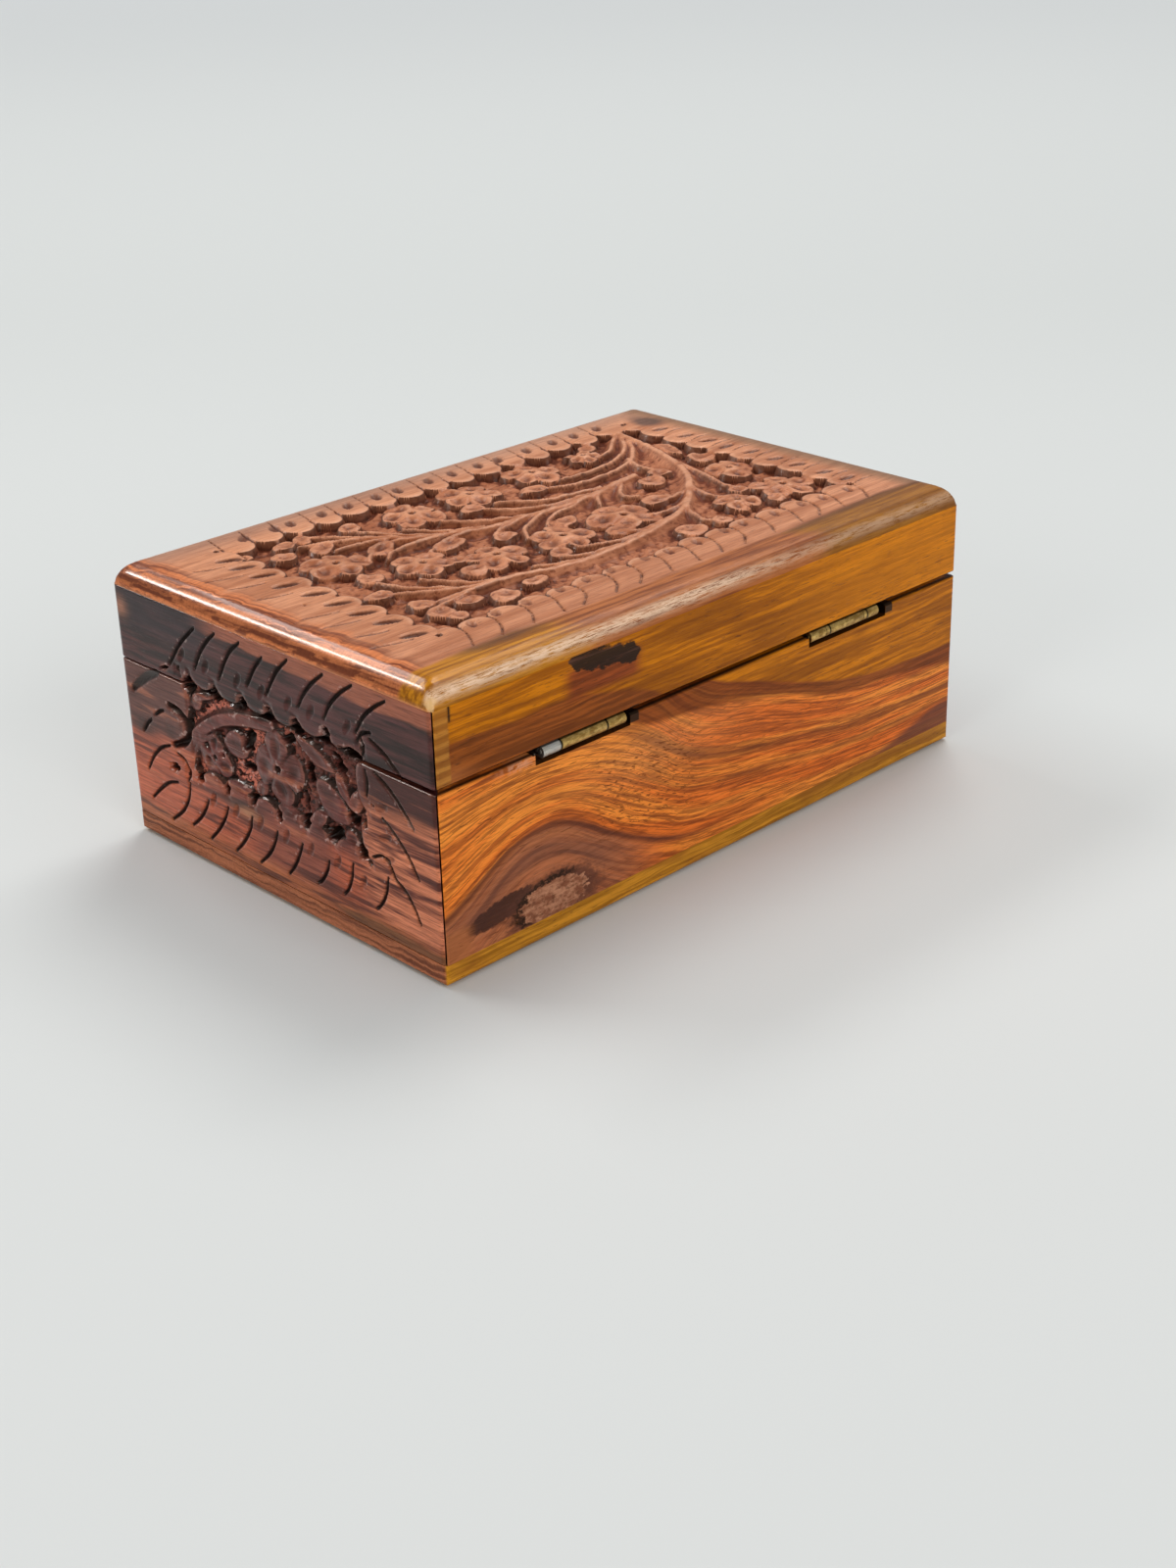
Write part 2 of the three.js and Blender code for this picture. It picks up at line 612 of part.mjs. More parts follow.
function topCarving() {
  const face = faces.top;
  const { field, notches } = lobedField(face, ...topField);
  const standing = topStems.map(([root, tip, points]) => stem(face, root, tip, points));
  for (const [centre, radius, petals, turn] of topFlowers) {
    standing.push(...flower(face, centre, radius, petals, THREE.MathUtils.degToRad(turn)));
  }
  for (const [centre, halfLong, halfShort, turn] of topBuds) {
    standing.push(boss(face, centre, halfLong, halfShort, THREE.MathUtils.degToRad(turn)));
  }
  return { field, standing: joined(standing), marks: joined(borderMarks(face, notches, borderCuts)) };
}

// End faces: long slanting cuts round the field, given by their two ends and their bow
const endCuts = [
  [[-22.9, 56], [-33.3, 45.1], 0.4], [[-15.7, 56.6], [-24, 46.6], 0.4], [[-7.3, 56.8], [-15.5, 46.6], 0.5],
  [[0.1, 55.6], [-5.8, 47.8], 0.3], [[8.6, 57.5], [0.6, 47.6], 0.5], [[19.8, 57.5], [11, 48], 0.6],
  [[28.7, 57.7], [19.2, 47.8], 0.6], [[38.6, 57.2], [28.9, 47.6], 0.6],
  [[-30.5, 17.9], [-38.9, 6.6], -1.2], [[-24.2, 16], [-31.3, 7.7], -0.5], [[-17, 16.7], [-24.8, 6.6], -0.7],
  [[-8.6, 17.1], [-15.5, 7], -0.7], [[0.1, 16.7], [-7.1, 7], -0.6], [[8.4, 16.7], [2.9, 7.9], -0.4],
  [[17.1, 15.8], [12.7, 9.3], -0.3], [[24.9, 17.9], [21.3, 9.8], -0.4], [[35.9, 18.7], [31.6, 10.2], -0.3],
  [[-39, 41.2], [-48.6, 35.3], 0.4], [[-42.9, 29.6], [-46.3, 25.9], 0.2], [[-36.8, 25], [-46.3, 16.7], 0.8],
  [[-35.2, 16.7], [-45.9, 9.8], 0.8], [[34, 40.9], [44.7, 32.3], -1], [[35.4, 31.5], [45.4, 21.5], -0.8],
  [[38.2, 19], [45.1, 11.6], -0.6], [[32.5, 47.8], [39, 44.2], -0.3],
];

const endStems = [
  [1.6, 1.0, [[-30, 26], [-25.4, 32.5], [-17.8, 36.8], [-10, 39], [0, 39.8]]],
  [1.2, 0.8, [[-28, 24.5], [-24, 30], [-18, 33.5]]],
  [1.4, 0.8, [[12, 39.5], [18.8, 37], [23.4, 32.5], [26, 27]]],
  [1.2, 0.8, [[-14, 25], [-4, 24], [6, 24.5], [14, 26.5]]],
];

const endFlowers = [
  [[2.3, 31.8], 6.8, 4, 45], [[-19.5, 27.2], 4.4, 3, 90],
];

const endBuds = [
  [[-12.8, 32.1], 4.2, 2.5, 10], [[19, 29.5], 4.2, 3, -25], [[27, 32.5], 2.6, 1.8, 60],
  [[11.5, 37], 2.6, 1.8, -20], [[24.5, 38.6], 2.6, 1.6, -40],
];

function endCarving(face) {
  const { field } = lobedField(face, ...endField);
  const standing = endStems.map(([root, tip, points]) => stem(face, root, tip, points));
  for (const [centre, radius, petals, turn] of endFlowers) {
    standing.push(...flower(face, centre, radius, petals, THREE.MathUtils.degToRad(turn)));
  }
  for (const [centre, halfLong, halfShort, turn] of endBuds) {
    standing.push(boss(face, centre, halfLong, halfShort, THREE.MathUtils.degToRad(turn)));
  }
  const marks = endCuts.map(([from, to, bow]) => cut(face, from, to, cutWidth, cutDepth, bow));
  return { field, standing: joined(standing), marks: joined(marks) };
}

// Front: a running stem that swings up and down, a flower in each bend and two buds on each crest
const frontBends = 5;
const frontMiddle = 31;
const frontSwing = 4.5;
const frontStemSteps = 4;
const frontFlower = { radius: 4.6, petals: 5, offset: 3.2 };
const frontBud = { halfLong: 3.2, halfShort: 1.9, turn: 0.6, offset: 5.6, apart: 0.38 };
const frontCutCount = 14;
const frontUpperCut = { from: [5, 56.6], to: [-4, 47.4], bow: 0.5 };
const frontLowerCut = { from: [3, 17], to: [-4, 7], bow: -0.6 };
const frontSideCut = { levels: [15, 24, 33], inner: 65.5, outer: 74, drop: 7, bow: -0.8 };

function frontCarving() {
  const face = faces.front;
  const { field } = lobedField(face, ...frontField);
  const fieldHalf = frontField[1][0];
  const reach = fieldHalf - 2 * lobeBulge;
  const bend = (2 * reach) / frontBends;
  const line = [];
  for (let i = 0; i <= frontStemSteps * frontBends; i += 1) {
    const u = -reach + (i * bend) / frontStemSteps;
    line.push([u, frontMiddle + frontSwing * Math.sin((Math.PI * (u + reach)) / bend)]);
  }
  const standing = [stem(face, 1.8, 1.2, line)];
  for (let i = 0; i < frontBends; i += 1) {
    const side = i % 2 ? -1 : 1;
    const u = -reach + (i + 0.5) * bend;
    const { radius, petals, offset } = frontFlower;
    standing.push(...flower(face, [u, frontMiddle - side * offset], radius, petals, side));
    for (const hand of [-1, 1]) {
      const centre = [u + hand * frontBud.apart * bend, frontMiddle + side * frontBud.offset];
      standing.push(boss(face, centre, frontBud.halfLong, frontBud.halfShort, -hand * side * frontBud.turn));
    }
  }
  const marks = [];
  for (let i = 0; i < frontCutCount; i += 1) {
    const u = -fieldHalf + (2 * fieldHalf * i) / (frontCutCount - 1);
    for (const { from, to, bow } of [frontUpperCut, frontLowerCut]) {
      marks.push(cut(face, [u + from[0], from[1]], [u + to[0], to[1]], cutWidth, cutDepth, bow));
    }
  }
  const { levels, inner, outer, drop, bow } = frontSideCut;
  for (const side of [-1, 1]) {
    for (const level of levels) {
      const from = [side * inner, level + drop];
      marks.push(cut(face, from, [side * outer, level], cutWidth, cutDepth, bow * side));
    }
  }
  return { field, standing: joined(standing), marks: joined(marks) };
}

function carved(board, { field, standing, marks }) {
  return board.subtract(field.subtract(standing)).subtract(marks);
}

const woods = {
  top: new THREE.MeshStandardMaterial({ color: 0xb47a5c, roughness: 0.4, metalness: 0 }),
  end: new THREE.MeshStandardMaterial({ color: 0x4a2c2e, roughness: 0.38, metalness: 0 }),
  rear: new THREE.MeshStandardMaterial({ color: 0xb0632c, roughness: 0.35, metalness: 0 }),
  golden: new THREE.MeshStandardMaterial({ color: 0xa5702b, roughness: 0.35, metalness: 0 }),
};
const brass = new THREE.MeshStandardMaterial({ color: 0xb9a878, roughness: 0.4, metalness: 0.9 });

function named(name, geometry, material) {
  const mesh = new THREE.Mesh(geometry, material);
  mesh.name = name;
  return mesh;
}

const baseOuter = baseForm();
const lidOuter = lidForm();

const onTop = topCarving();
const onRight = endCarving(faces.right);
const onLeft = endCarving(faces.left);
const onFront = frontCarving();

const base = new THREE.Group();
base.add(named('bottom_panel', geometryOf(baseOuter.intersect(
  block(-halfLength, halfLength, -halfWidth, halfWidth, 0, bottomBoardThickness))), woods.golden));
base.add(named('base_front_wall', geometryOf(carved(baseOuter.intersect(
  alongZ(longBoardPlan(-1), bottomBoardThickness, rimHeight)), onFront)), woods.rear));
base.add(named('base_rear_wall', geometryOf(baseRearWall(baseOuter)), woods.rear));
base.add(named('base_left_wall', geometryOf(carved(baseOuter.intersect(
  alongZ(endBoardPlan(-1), bottomBoardThickness, rimHeight)), onLeft)), woods.end));
base.add(named('base_right_wall', geometryOf(carved(baseOuter.intersect(
  alongZ(endBoardPlan(1), bottomBoardThickness, rimHeight)), onRight)), woods.end));

const lid = new THREE.Group();
lid.add(named('lid_top_panel', geometryOf(carved(lidOuter.intersect(
  block(-halfLength, halfLength, -halfWidth, halfWidth, topBoardZ, boxHeight)), onTop)), woods.top));
lid.add(named('lid_front_rail', geometryOf(carved(lidOuter.intersect(
  alongZ(longBoardPlan(-1), lidFrontZ, topBoardZ)), onFront)), woods.golden));
lid.add(named('lid_rear_rail', geometryOf(lidRearRail(lidOuter)), woods.golden));
lid.add(named('lid_left_rail', geometryOf(carved(lidOuter.intersect(
  alongZ(endBoardPlan(-1), lidFrontZ, topBoardZ)), onLeft)), woods.end));
lid.add(named('lid_right_rail', geometryOf(carved(lidOuter.intersect(
  alongZ(endBoardPlan(1), lidFrontZ, topBoardZ)), onRight)), woods.end));

for (const hinge of hinges) {
  base.add(named(`${hinge.side}_hinge_base_leaf`, geometryOf(baseLeaf(hinge)), brass));
  base.add(named(`${hinge.side}_hinge_pin`, pinGeometry(hinge), brass));
  lid.add(named(`${hinge.side}_hinge_lid_leaf`, geometryOf(lidLeaf(hinge)), brass));
  for (const [place, x] of nailPlaces(hinge)) {
    base.add(named(`${hinge.side}_hinge_base_nail_${place}`, nailGeometry(true, x, baseLeafTopZ), brass));
    lid.add(named(`${hinge.side}_hinge_lid_nail_${place}`, nailGeometry(false, x, lidLeafBottomZ), brass));
  }
}

const trinketBox = new THREE.Group();
trinketBox.add(base, lid);

export default trinketBox;
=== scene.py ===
# %% [markdown]
# # A carved rosewood trinket box
# The real box is Indian rosewood: four mitred walls and four mitred rails, a full board under
# and over them, and two small brass hinges. The top, the ends and the front are carved by hand.
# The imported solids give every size. This lesson dresses them: the carving is worked into dense
# grids, and the wood, with its bands of heartwood and sapwood, is built from noise and curves.

# %% Load the solids
import math
import bmesh
import bpy
import numpy as np
from mathutils import Matrix, Vector


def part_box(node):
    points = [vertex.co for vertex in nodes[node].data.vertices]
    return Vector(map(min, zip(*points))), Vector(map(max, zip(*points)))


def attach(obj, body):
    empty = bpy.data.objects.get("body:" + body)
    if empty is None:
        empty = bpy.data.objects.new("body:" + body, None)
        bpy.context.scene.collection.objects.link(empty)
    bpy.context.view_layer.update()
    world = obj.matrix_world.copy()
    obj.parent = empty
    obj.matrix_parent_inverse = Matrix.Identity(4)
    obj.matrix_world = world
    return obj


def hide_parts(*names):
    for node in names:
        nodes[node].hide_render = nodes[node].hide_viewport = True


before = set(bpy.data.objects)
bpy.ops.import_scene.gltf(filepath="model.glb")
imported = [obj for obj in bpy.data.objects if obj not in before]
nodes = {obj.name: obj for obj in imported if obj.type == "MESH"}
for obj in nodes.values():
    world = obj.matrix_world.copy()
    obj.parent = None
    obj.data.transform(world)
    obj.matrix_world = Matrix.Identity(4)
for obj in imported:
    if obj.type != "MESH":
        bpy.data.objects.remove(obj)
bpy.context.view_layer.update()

# %% [markdown]
# ## Sizes
# All lengths below are in millimetres, because that is how a joiner thinks of such a box, and
# Blender's own unit is the metre. They are read from the solids, so the dress always fits them.
# Only the worn edge of the lid, the rounded corners, the eased rims and the joint line in the
# mitres can't be read from the boxes round the solids, so they are given here.

# %% Sizes of the boards
MM = 0.001


def box_mm(node):
    low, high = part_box(node)
    return np.array(low) / MM, np.array(high) / MM


HALF_X, HALF_Y, FLOOR_BOARD = box_mm("bottom_panel")[1]
TOP_LOW, TOP_HIGH = box_mm("lid_top_panel")
WALL_LOW, WALL_HIGH = box_mm("base_right_wall")
HEIGHT = TOP_HIGH[2]
SEAM = TOP_LOW[2]
RIM = WALL_HIGH[2]
THICK = WALL_HIGH[0] - WALL_LOW[0]
LID_FRONT = box_mm("lid_right_rail")[0][2]
LID_REAR = box_mm("lid_rear_rail")[0][2]
ROUND_OVER = 5.2
CORNER = 1.2
EASE = 0.4
MITRE_GAP = 0.42
print("half length", HALF_X, "half width", HALF_Y, "height", HEIGHT, "seam", SEAM, "rim", RIM)
print("rail from", LID_FRONT, "wall thickness", THICK)

# %% [markdown]
# ## A face to carve
# A carved board could be sculpted by hand, but then no one could change it. Here a face is a fine
# grid with a depth at each point. Each tool of the carver is one method: a ridge is what two
# gouges leave between them, a boss is a bud or a leaf, a cut is a stroke of the V tool, and a
# thumb is the hollow that a gouge leaves. Ridges and bosses rise out of the sunk field, and cuts
# and thumbs are taken off last. A face is carved twice: the first time each stroke notes where
# the grid points near its edge should slide to, and the second time its edges come out clean.

# %% A face to carve
def smooth(values, low, high):
    t = np.clip((values - low) / (high - low), 0, 1)
    return t * t * (3 - 2 * t)


def lattice_noise(us, vs, cell, seed):
    """Smooth random heights from -1 to 1, with bumps about one cell wide."""
    draw = np.random.RandomState(seed)
    count_u = int((us[-1] - us[0]) / cell) + 3
    count_v = int((vs[-1] - vs[0]) / cell) + 3
    knots = draw.uniform(-1, 1, (count_v, count_u))
    fu, fv = (us - us[0]) / cell, (vs - vs[0]) / cell
    iu, iv = fu.astype(int), fv.astype(int)
    tu, tv = smooth(fu - iu, 0, 1), smooth(fv - iv, 0, 1)[:, None]
    rows = knots[:, iu] * (1 - tu) + knots[:, iu + 1] * tu
    return rows[iv] * (1 - tv) + rows[iv + 1] * tv


def spline(points, step=0.15):
    """Points every step along a smooth line through the given ones (Catmull-Rom)."""
    points = np.array(points, float)
    ends = [2 * points[0] - points[1], *points, 2 * points[-1] - points[-2]]
    line = []
    for a, b, c, d in zip(ends, ends[1:], ends[2:], ends[3:]):
        count = max(2, int(np.linalg.norm(c - b) / step))
        t = np.linspace(0, 1, count, endpoint=False)[:, None]
        line.append(0.5 * (2 * b + (c - a) * t + (2 * a - 5 * b + 4 * c - d) * t**2
                           + (3 * b - a - 3 * c + d) * t**3))
    return np.concatenate([*line, points[-1:]])


def by_hand(centre):
    """A random source that depends only on the place, so a motif keeps its own small faults."""
    return np.random.RandomState(int(abs(centre[0] * 131 + centre[1] * 17) * 10) % 99991)


def wavy(angle, draw, *folds):
    """A factor near 1 that makes an outline uneven. Each fold says how often and how much."""
    return 1 + sum(much * np.sin(often * angle + draw.uniform(0, 6)) for often, much in folds)


NOTHING = -99.0
UNCLAIMED = 9.0
FAR = 1e4


class Carving:
    """Depths over one face, in mm: 0 is the untouched surface and below is cut away."""

    def __init__(self, us, vs, fine, sight=(0, 0)):
        self.us, self.vs, self.fine = us, vs, fine
        self.U, self.V = np.meshgrid(us, vs)
        self.slide = np.zeros((2, *self.U.shape))
        self.sight = np.array(sight)
        self.first = True
        self.claim = np.full(self.U.shape, UNCLAIMED)
        self.clear()

    def clear(self):
        self.raised = np.full(self.U.shape, NOTHING)
        self.taken = np.zeros_like(self.U)
        self.ink_and_shade = np.zeros_like(self.U)

    def again(self):
        """Slides the grid points to where the first round wants them, and wipes the face."""
        self.U, self.V = self.U + self.slide[0], self.V + self.slide[1]
        self.first = False
        self.clear()

    def settle(self, where, out, away=None, rings=1, weight=0.5):
        """Notes how to put the points nearest an edge on it, and the next ones at even steps.

        A point follows the edge nearest to it, and edges with a low weight seem nearer."""
        if not self.first or min(out.shape) < 3:
            return
        if away is None:
            away = np.gradient(out, self.vs[where[0]], self.us[where[1]])[::-1]
        size = np.hypot(*away) + 1e-9
        turn = away[0] / size, away[1] / size
        gap = np.clip(out / np.maximum(size, 0.3), -UNCLAIMED, UNCLAIMED)
        step = self.fine * np.maximum(np.abs(turn[0]), np.abs(turn[1])) + 1e-9
        ring = np.rint(gap / step)
        claim = (np.abs(gap / step) + 0.2) * weight
        near = (np.abs(ring) <= rings) & (claim < self.claim[where])
        for slide, share in zip(self.slide, turn):
            slide[where] = np.where(near, (ring * step - gap) * share, slide[where])
        self.claim[where] = np.where(near, claim, self.claim[where])

    def chop(self, out, deep=2.4):
        """The side of a motif: a worn rim, then straight down within one grid step of its edge."""
        return deep * smooth(out, 0.3 * self.fine, 0.62 * self.fine) + 0.1 * smooth(out, -0.6, 0.1)

    def window(self, points, margin):
        """The part of the grid that lies within margin of the points."""
        points = np.atleast_2d(points)
        low, high = points.min(0) - margin, points.max(0) + margin
        i0, i1 = np.searchsorted(self.us, (low[0], high[0]))
        j0, j1 = np.searchsorted(self.vs, (low[1], high[1]))
        return slice(j0, j1), slice(i0, i1)

    def drawn(self, points, level):
        """Points drawn as the eye sees them from the side, where deeper ones seem shifted."""
        return np.array(points, float) + self.sight * level

    def lift(self, where, height):
        self.raised[where] = np.maximum(self.raised[where], height)

    def take(self, where, mark, ink_and_shade):
        """Takes wood off, and darkens the mark with old dirt and painted shade."""
        self.taken[where] = np.maximum(self.taken[where], mark)
        self.ink_and_shade[where] = np.maximum(self.ink_and_shade[where], ink_and_shade)

    def along(self, points, reach, rings):
        """How far each point of a window lies from a smooth line, and how far along it."""
        line = spline(points, 0.12)
        square = np.full(self.U.shape, FAR)
        index = np.zeros(self.U.shape, int)
        for start in range(0, len(line) - 1, 30):
            part = line[start:start + 31]
            where = self.window(part, reach)
            if self.U[where].size == 0:
                continue
            du = self.U[where][..., None] - part[:, 0]
            dv = self.V[where][..., None] - part[:, 1]
            gap = du * du + dv * dv
            near = gap.argmin(-1)
            gap = np.take_along_axis(gap, near[..., None], -1)[..., 0]
            index[where] = np.where(gap < square[where], start + near, index[where])
            square[where] = np.minimum(gap, square[where])
        where = self.window(line, reach)
        distance, index = np.sqrt(square[where]), index[where]
        away = [(grid[where] - line[index, k]) / (distance + 1e-9)
                for k, grid in enumerate((self.U, self.V))]
        self.settle(where, distance, away, rings, weight=1.0)
        return where, distance, index / (len(line) - 1)

    def ridge(self, points, level=-0.3, drop=1.8, root=3.2, tip=2.2, crest=0.15):
        """A crisp line between two gouged channels that hollow out on both sides."""
        where, distance, share = self.along(self.drawn(points, level), root + 1, 1)
        width = root + (tip - root) * share
        s = np.clip((distance - crest) / width, 0, 1)
        height = level - 0.25 * share - drop * (1 - (1 - s) ** 2.2)
        height[distance > crest + width] = NOTHING
        self.lift(where, height)

    def oval(self, centre, half_long, half_short, turn=0.0, reach=1.5):
        """The window round an oval, and how far along and across it each point is, 1 at its edge."""
        where = self.window(centre, max(half_long, half_short) * reach)
        du, dv = self.U[where] - centre[0], self.V[where] - centre[1]
        c, s = math.cos(turn), math.sin(turn)
        p = (du * c + dv * s) / half_long
        q = (dv * c - du * s) / half_short
        return where, p, q

    def boss(self, centre, half_long, half_short, turn=0.0, level=-0.3, dish=0.6, hollow=0.7,
             sharp=2.0):
        """A bud or leaf with a soft dish in it; sharp below 2 gives it points."""
        draw = by_hand(centre)
        centre = self.drawn(centre, level)
        where, p, q = self.oval(centre, half_long, half_short, turn)
        wave = wavy(np.arctan2(q, p), draw, (2, 0.06), (3, 0.06))
        r = (np.abs(p) ** sharp + np.abs(q) ** sharp) ** (1 / sharp) / wave
        out = (r - 1) * min(half_long, half_short)
        lean = draw.uniform(-0.3, 0.3, 2)
        dent = np.clip(1 - np.hypot(p - lean[0], q - lean[1]) ** 2 / hollow**2, 0, 1) ** 1.2
        height = level - 0.5 * r**2 + lean[0] * p + lean[1] * q - dish * dent - self.chop(out)
        height[out > 0.9] = NOTHING
        self.settle(where, out)
        self.lift(where, height)
        # The dish is darkened: dirt, and painted shade in its hollow.
        self.ink_and_shade[where] = np.maximum(self.ink_and_shade[where], 0.4 * dent * (out < 0))

    def flower(self, centre, radius, petals=5, turn=0.0, level=-0.2, dish=0.75):
        """One lobed plate: each petal is a soft dish, and the eye is a hole in a small ring."""
        draw = by_hand(centre)
        centre = self.drawn(centre, level)
        where, p, q = self.oval(centre, radius, radius, 0, 1.3)
        r = np.hypot(p, q)
        angle = np.arctan2(q, p) - turn
        index = np.rint(angle * petals / (2 * math.pi)).astype(int)
        local = angle - index * 2 * math.pi / petals
        size, skew, tilt = (draw.uniform(low, high, petals)[index % petals]
                            for low, high in ((0.88, 1.14), (-0.5, 0.5), (-0.5, 0.5)))
        lobe = np.clip(np.cos(petals * local / 2), 0, 1) ** 0.55
        out = (r - size * (0.68 + 0.36 * lobe)) * radius
        split = r * radius * np.sin(math.pi / petals - np.abs(local))
        groove = 0.35 * np.clip(1 - split / 0.9, 0, 1) ** 1.5 * smooth(r, 0.3, 0.6)
        along, across = r * np.cos(local) - 0.62, r * np.sin(local)
        long = along * np.cos(skew) + across * np.sin(skew)
        wide = across * np.cos(skew) - along * np.sin(skew)
        dent = np.clip(1 - (long / 0.34) ** 2 - (wide / 0.25) ** 2, 0, 1) ** 1.2
        core = np.clip(1 - (r / 0.11) ** 2, 0, 1) ** 0.6
        ring = np.exp(-(((r - 0.2) / 0.08) ** 2))
        height = level + 2.0 * tilt * across - 0.6 * r**2 - self.chop(out)
        height += 0.22 * ring - dish * dent - groove - 1.2 * core
        height[out > 0.9] = NOTHING
        self.settle(where, out)
        self.lift(where, height)
        # Each petal's dish is darkened: dirt, and painted shade in its hollow.
        self.ink_and_shade[where] = np.maximum(self.ink_and_shade[where], 0.5 * dent * (out < 0))

    def cut(self, points, width=0.9, depth=0.9, root=0.5):
        """A V stroke that starts wide and thins out; root sets how full its start is."""
        rings = max(1, int(width / 2 / self.fine))
        where, distance, share = self.along(points, width + 0.5, rings)
        part = np.clip(share * (1 - root) + root / 2, 0, 1)
        swell = np.clip(np.sin(math.pi * part), 0, 1) ** 0.8
        half = width * swell / 2 + 0.05
        near = np.clip(1 - distance / half, 0, 1)
        # The cut is darkened: dirt, and painted shade in the groove.
        ink_and_shade = np.clip(near * 2.2, 0, 1) * smooth(swell, 0.1, 0.5)
        self.take(where, depth * swell * near**0.8, ink_and_shade)

    def thumb(self, centre, half_long, half_short, turn=0.0, depth=0.9, lean=0.35, ink_and_shade=0.4):
        """The hollow of a round gouge, which goes in steeply at one end."""
        where, p, q = self.oval(centre, half_long, half_short, turn)
        bowl = np.clip(1 - p * p - q * q, 0, 1)
        self.settle(where, (np.hypot(p, q) - 1) * half_short)
        # The bowl is darkened: dirt, and painted shade in the hollow.
        self.take(where, depth * bowl**0.8 * (1 - lean + lean * p), ink_and_shade * np.clip(bowl * 1.8, 0, 1))

    def pit(self, centre, half_long, half_short, turn=0.0, depth=2.5):
        """A dark hole with an uneven edge, sunk through to the field between two motifs; its darkness is
        painted shade.
        """
        draw = by_hand(centre)
        where, p, q = self.oval(centre, half_long, half_short, turn)
        r = np.hypot(p, q) / wavy(np.arctan2(q, p), draw, (2, 0.14), (5, 0.12))
        self.settle(where, (r - 1) * min(half_long, half_short))
        self.take(where, depth * (1 - smooth(r, 0.6, 1.05)), 1 - smooth(r, 0.7, 1.0))


# %% [markdown]
# ## The border of lobes
# The field is sunk inside a border whose edge swings in and out, one lobe for each stroke of a
# wide gouge. No two lobes are alike: the notches between them lie where the carver put them.

# %% The border of lobes
BULGE = 3.0
DEEP_BULGE = 5.0
LOBE_RISE = 3.2


def lobed_field(carving, low, high, notches, deep=()):
    """How far inside the field each point lies, in mm. The deep sides have longer lobes."""
    U, V = carving.U, carving.V
    inside = np.minimum(np.minimum(U - low[0], high[0] - U), np.minimum(V - low[1], high[1] - V))
    sides = {
        "front": (low[0], high[0], U, V - low[1]), "rear": (low[0], high[0], U, high[1] - V),
        "left": (low[1], high[1], V, U - low[0]), "right": (low[1], high[1], V, high[0] - U),
    }
    for side, (start, end, along, inward) in sides.items():
        draw = np.random.RandomState(len(side))
        edges = sorted([start + 1, *notches[side], end - 1])
        for a, b in zip(edges, edges[1:]):
            bulge = (DEEP_BULGE if side in deep else BULGE) * draw.uniform(0.85, 1.15)
            q = np.hypot((along - (a + b) / 2) / ((b - a) / 2), inward / bulge)
            inside = np.minimum(inside, (q - 1) * LOBE_RISE)
    carving.settle((slice(None), slice(None)), inside)
    return inside


def even_notches(low, high, pitch):
    """The notches of a border whose lobes are all about one pitch wide."""
    def row(start, end):
        count = max(2, round((end - start) / pitch))
        return list(start + (end - start) * np.arange(1, count) / count)

    along, up = map(row, low, high)
    return {"front": along, "rear": along, "left": up, "right": up}


def blurred(height, cells):
    """A running mean over a square of cells, done twice."""
    for _ in range(2):
        for axis in (0, 1):
            span = 2 * cells + 1
            pad = [(0, 0), (0, 0)]
            pad[axis] = (cells + 1, cells)
            total = np.cumsum(np.pad(height, pad, mode="edge"), axis=axis)
            last = total.shape[axis]
            height = np.take(total, range(span, last), axis) - np.take(total, range(last - span), axis)
            height = height / span
    return height


def beside(height):
    """The heights of each point and of the four beside it."""
    wide = np.pad(height, 1, mode="edge")
    return np.array([height, wide[2:, 1:-1], wide[:-2, 1:-1], wide[1:-1, 2:], wide[1:-1, :-2]])


def finish_face(carving, inside, depth, seed, rough=(0.22, 0.14), uneven=(0.06, 0.03)):
    """Puts border, field and motifs together, takes the cuts off, and finds the creases."""
    us, vs = carving.us, carving.vs
    cells = (1.6, rough[0]), (0.7, rough[1]), (2.0, uneven[0]), (0.9, uneven[1])
    bumps = [much * lattice_noise(us, vs, cell, seed + k) for k, (cell, much) in enumerate(cells)]
    ground = -depth + bumps[0] + bumps[1]
    field = np.maximum(ground, carving.raised + bumps[2] + bumps[3])
    border = -carving.chop(inside, depth + 0.5) - 0.25 * smooth(inside, -1.2, 0.1)
    height = np.minimum(np.maximum(border, np.where(inside > -0.2, field, NOTHING)), 0)
    near = beside(np.maximum(height, -depth - 0.4))
    steep = (near.max(0) - near.min(0)) / (2 * carving.fine)
    height = height - carving.taken
    soft = (beside(beside(height).mean(0)).mean(0) + height) / 2
    height = np.where(carving.claim < UNCLAIMED, height, soft)
    crease = (blurred(height, 2) - height) / 0.4 + (blurred(height, 5) - height) / 1.6
    return {"relief": height, "U": carving.U, "V": carving.V, "ink_and_shade": carving.ink_and_shade,
            "hollow": np.clip(-height / depth, 0, 1.6), "crease": np.clip(crease, -1.5, 1.5),
            "steep": np.clip(steep, 0, 4)}


def carved(strokes, us, vs, fine, sight=(0, 0)):
    """Carves a face twice over, the second time on grid points that follow its edges."""
    carving = Carving(us, vs, fine, sight)
    strokes(carving)
    carving.again()
    return strokes(carving)


# %% [markdown]
# ## From a grid to a board
# A grid operator makes the face, its rim is extruded back to the hidden side of the board, and
# the rim of that is filled. Then each point is sent to its place on the real board. The depth and
# the crease of each point stay with it as attributes, with its steepness and its darkened marks,
# for the dirt, the painted shade and highlights, and the polish later on.

# %% From a grid to a board
MARKS = ("hollow", "crease", "steep", "ink_and_shade")


def add_object(name, data):
    thing = bpy.data.objects.new(name, data)
    bpy.context.scene.collection.objects.link(thing)
    return thing


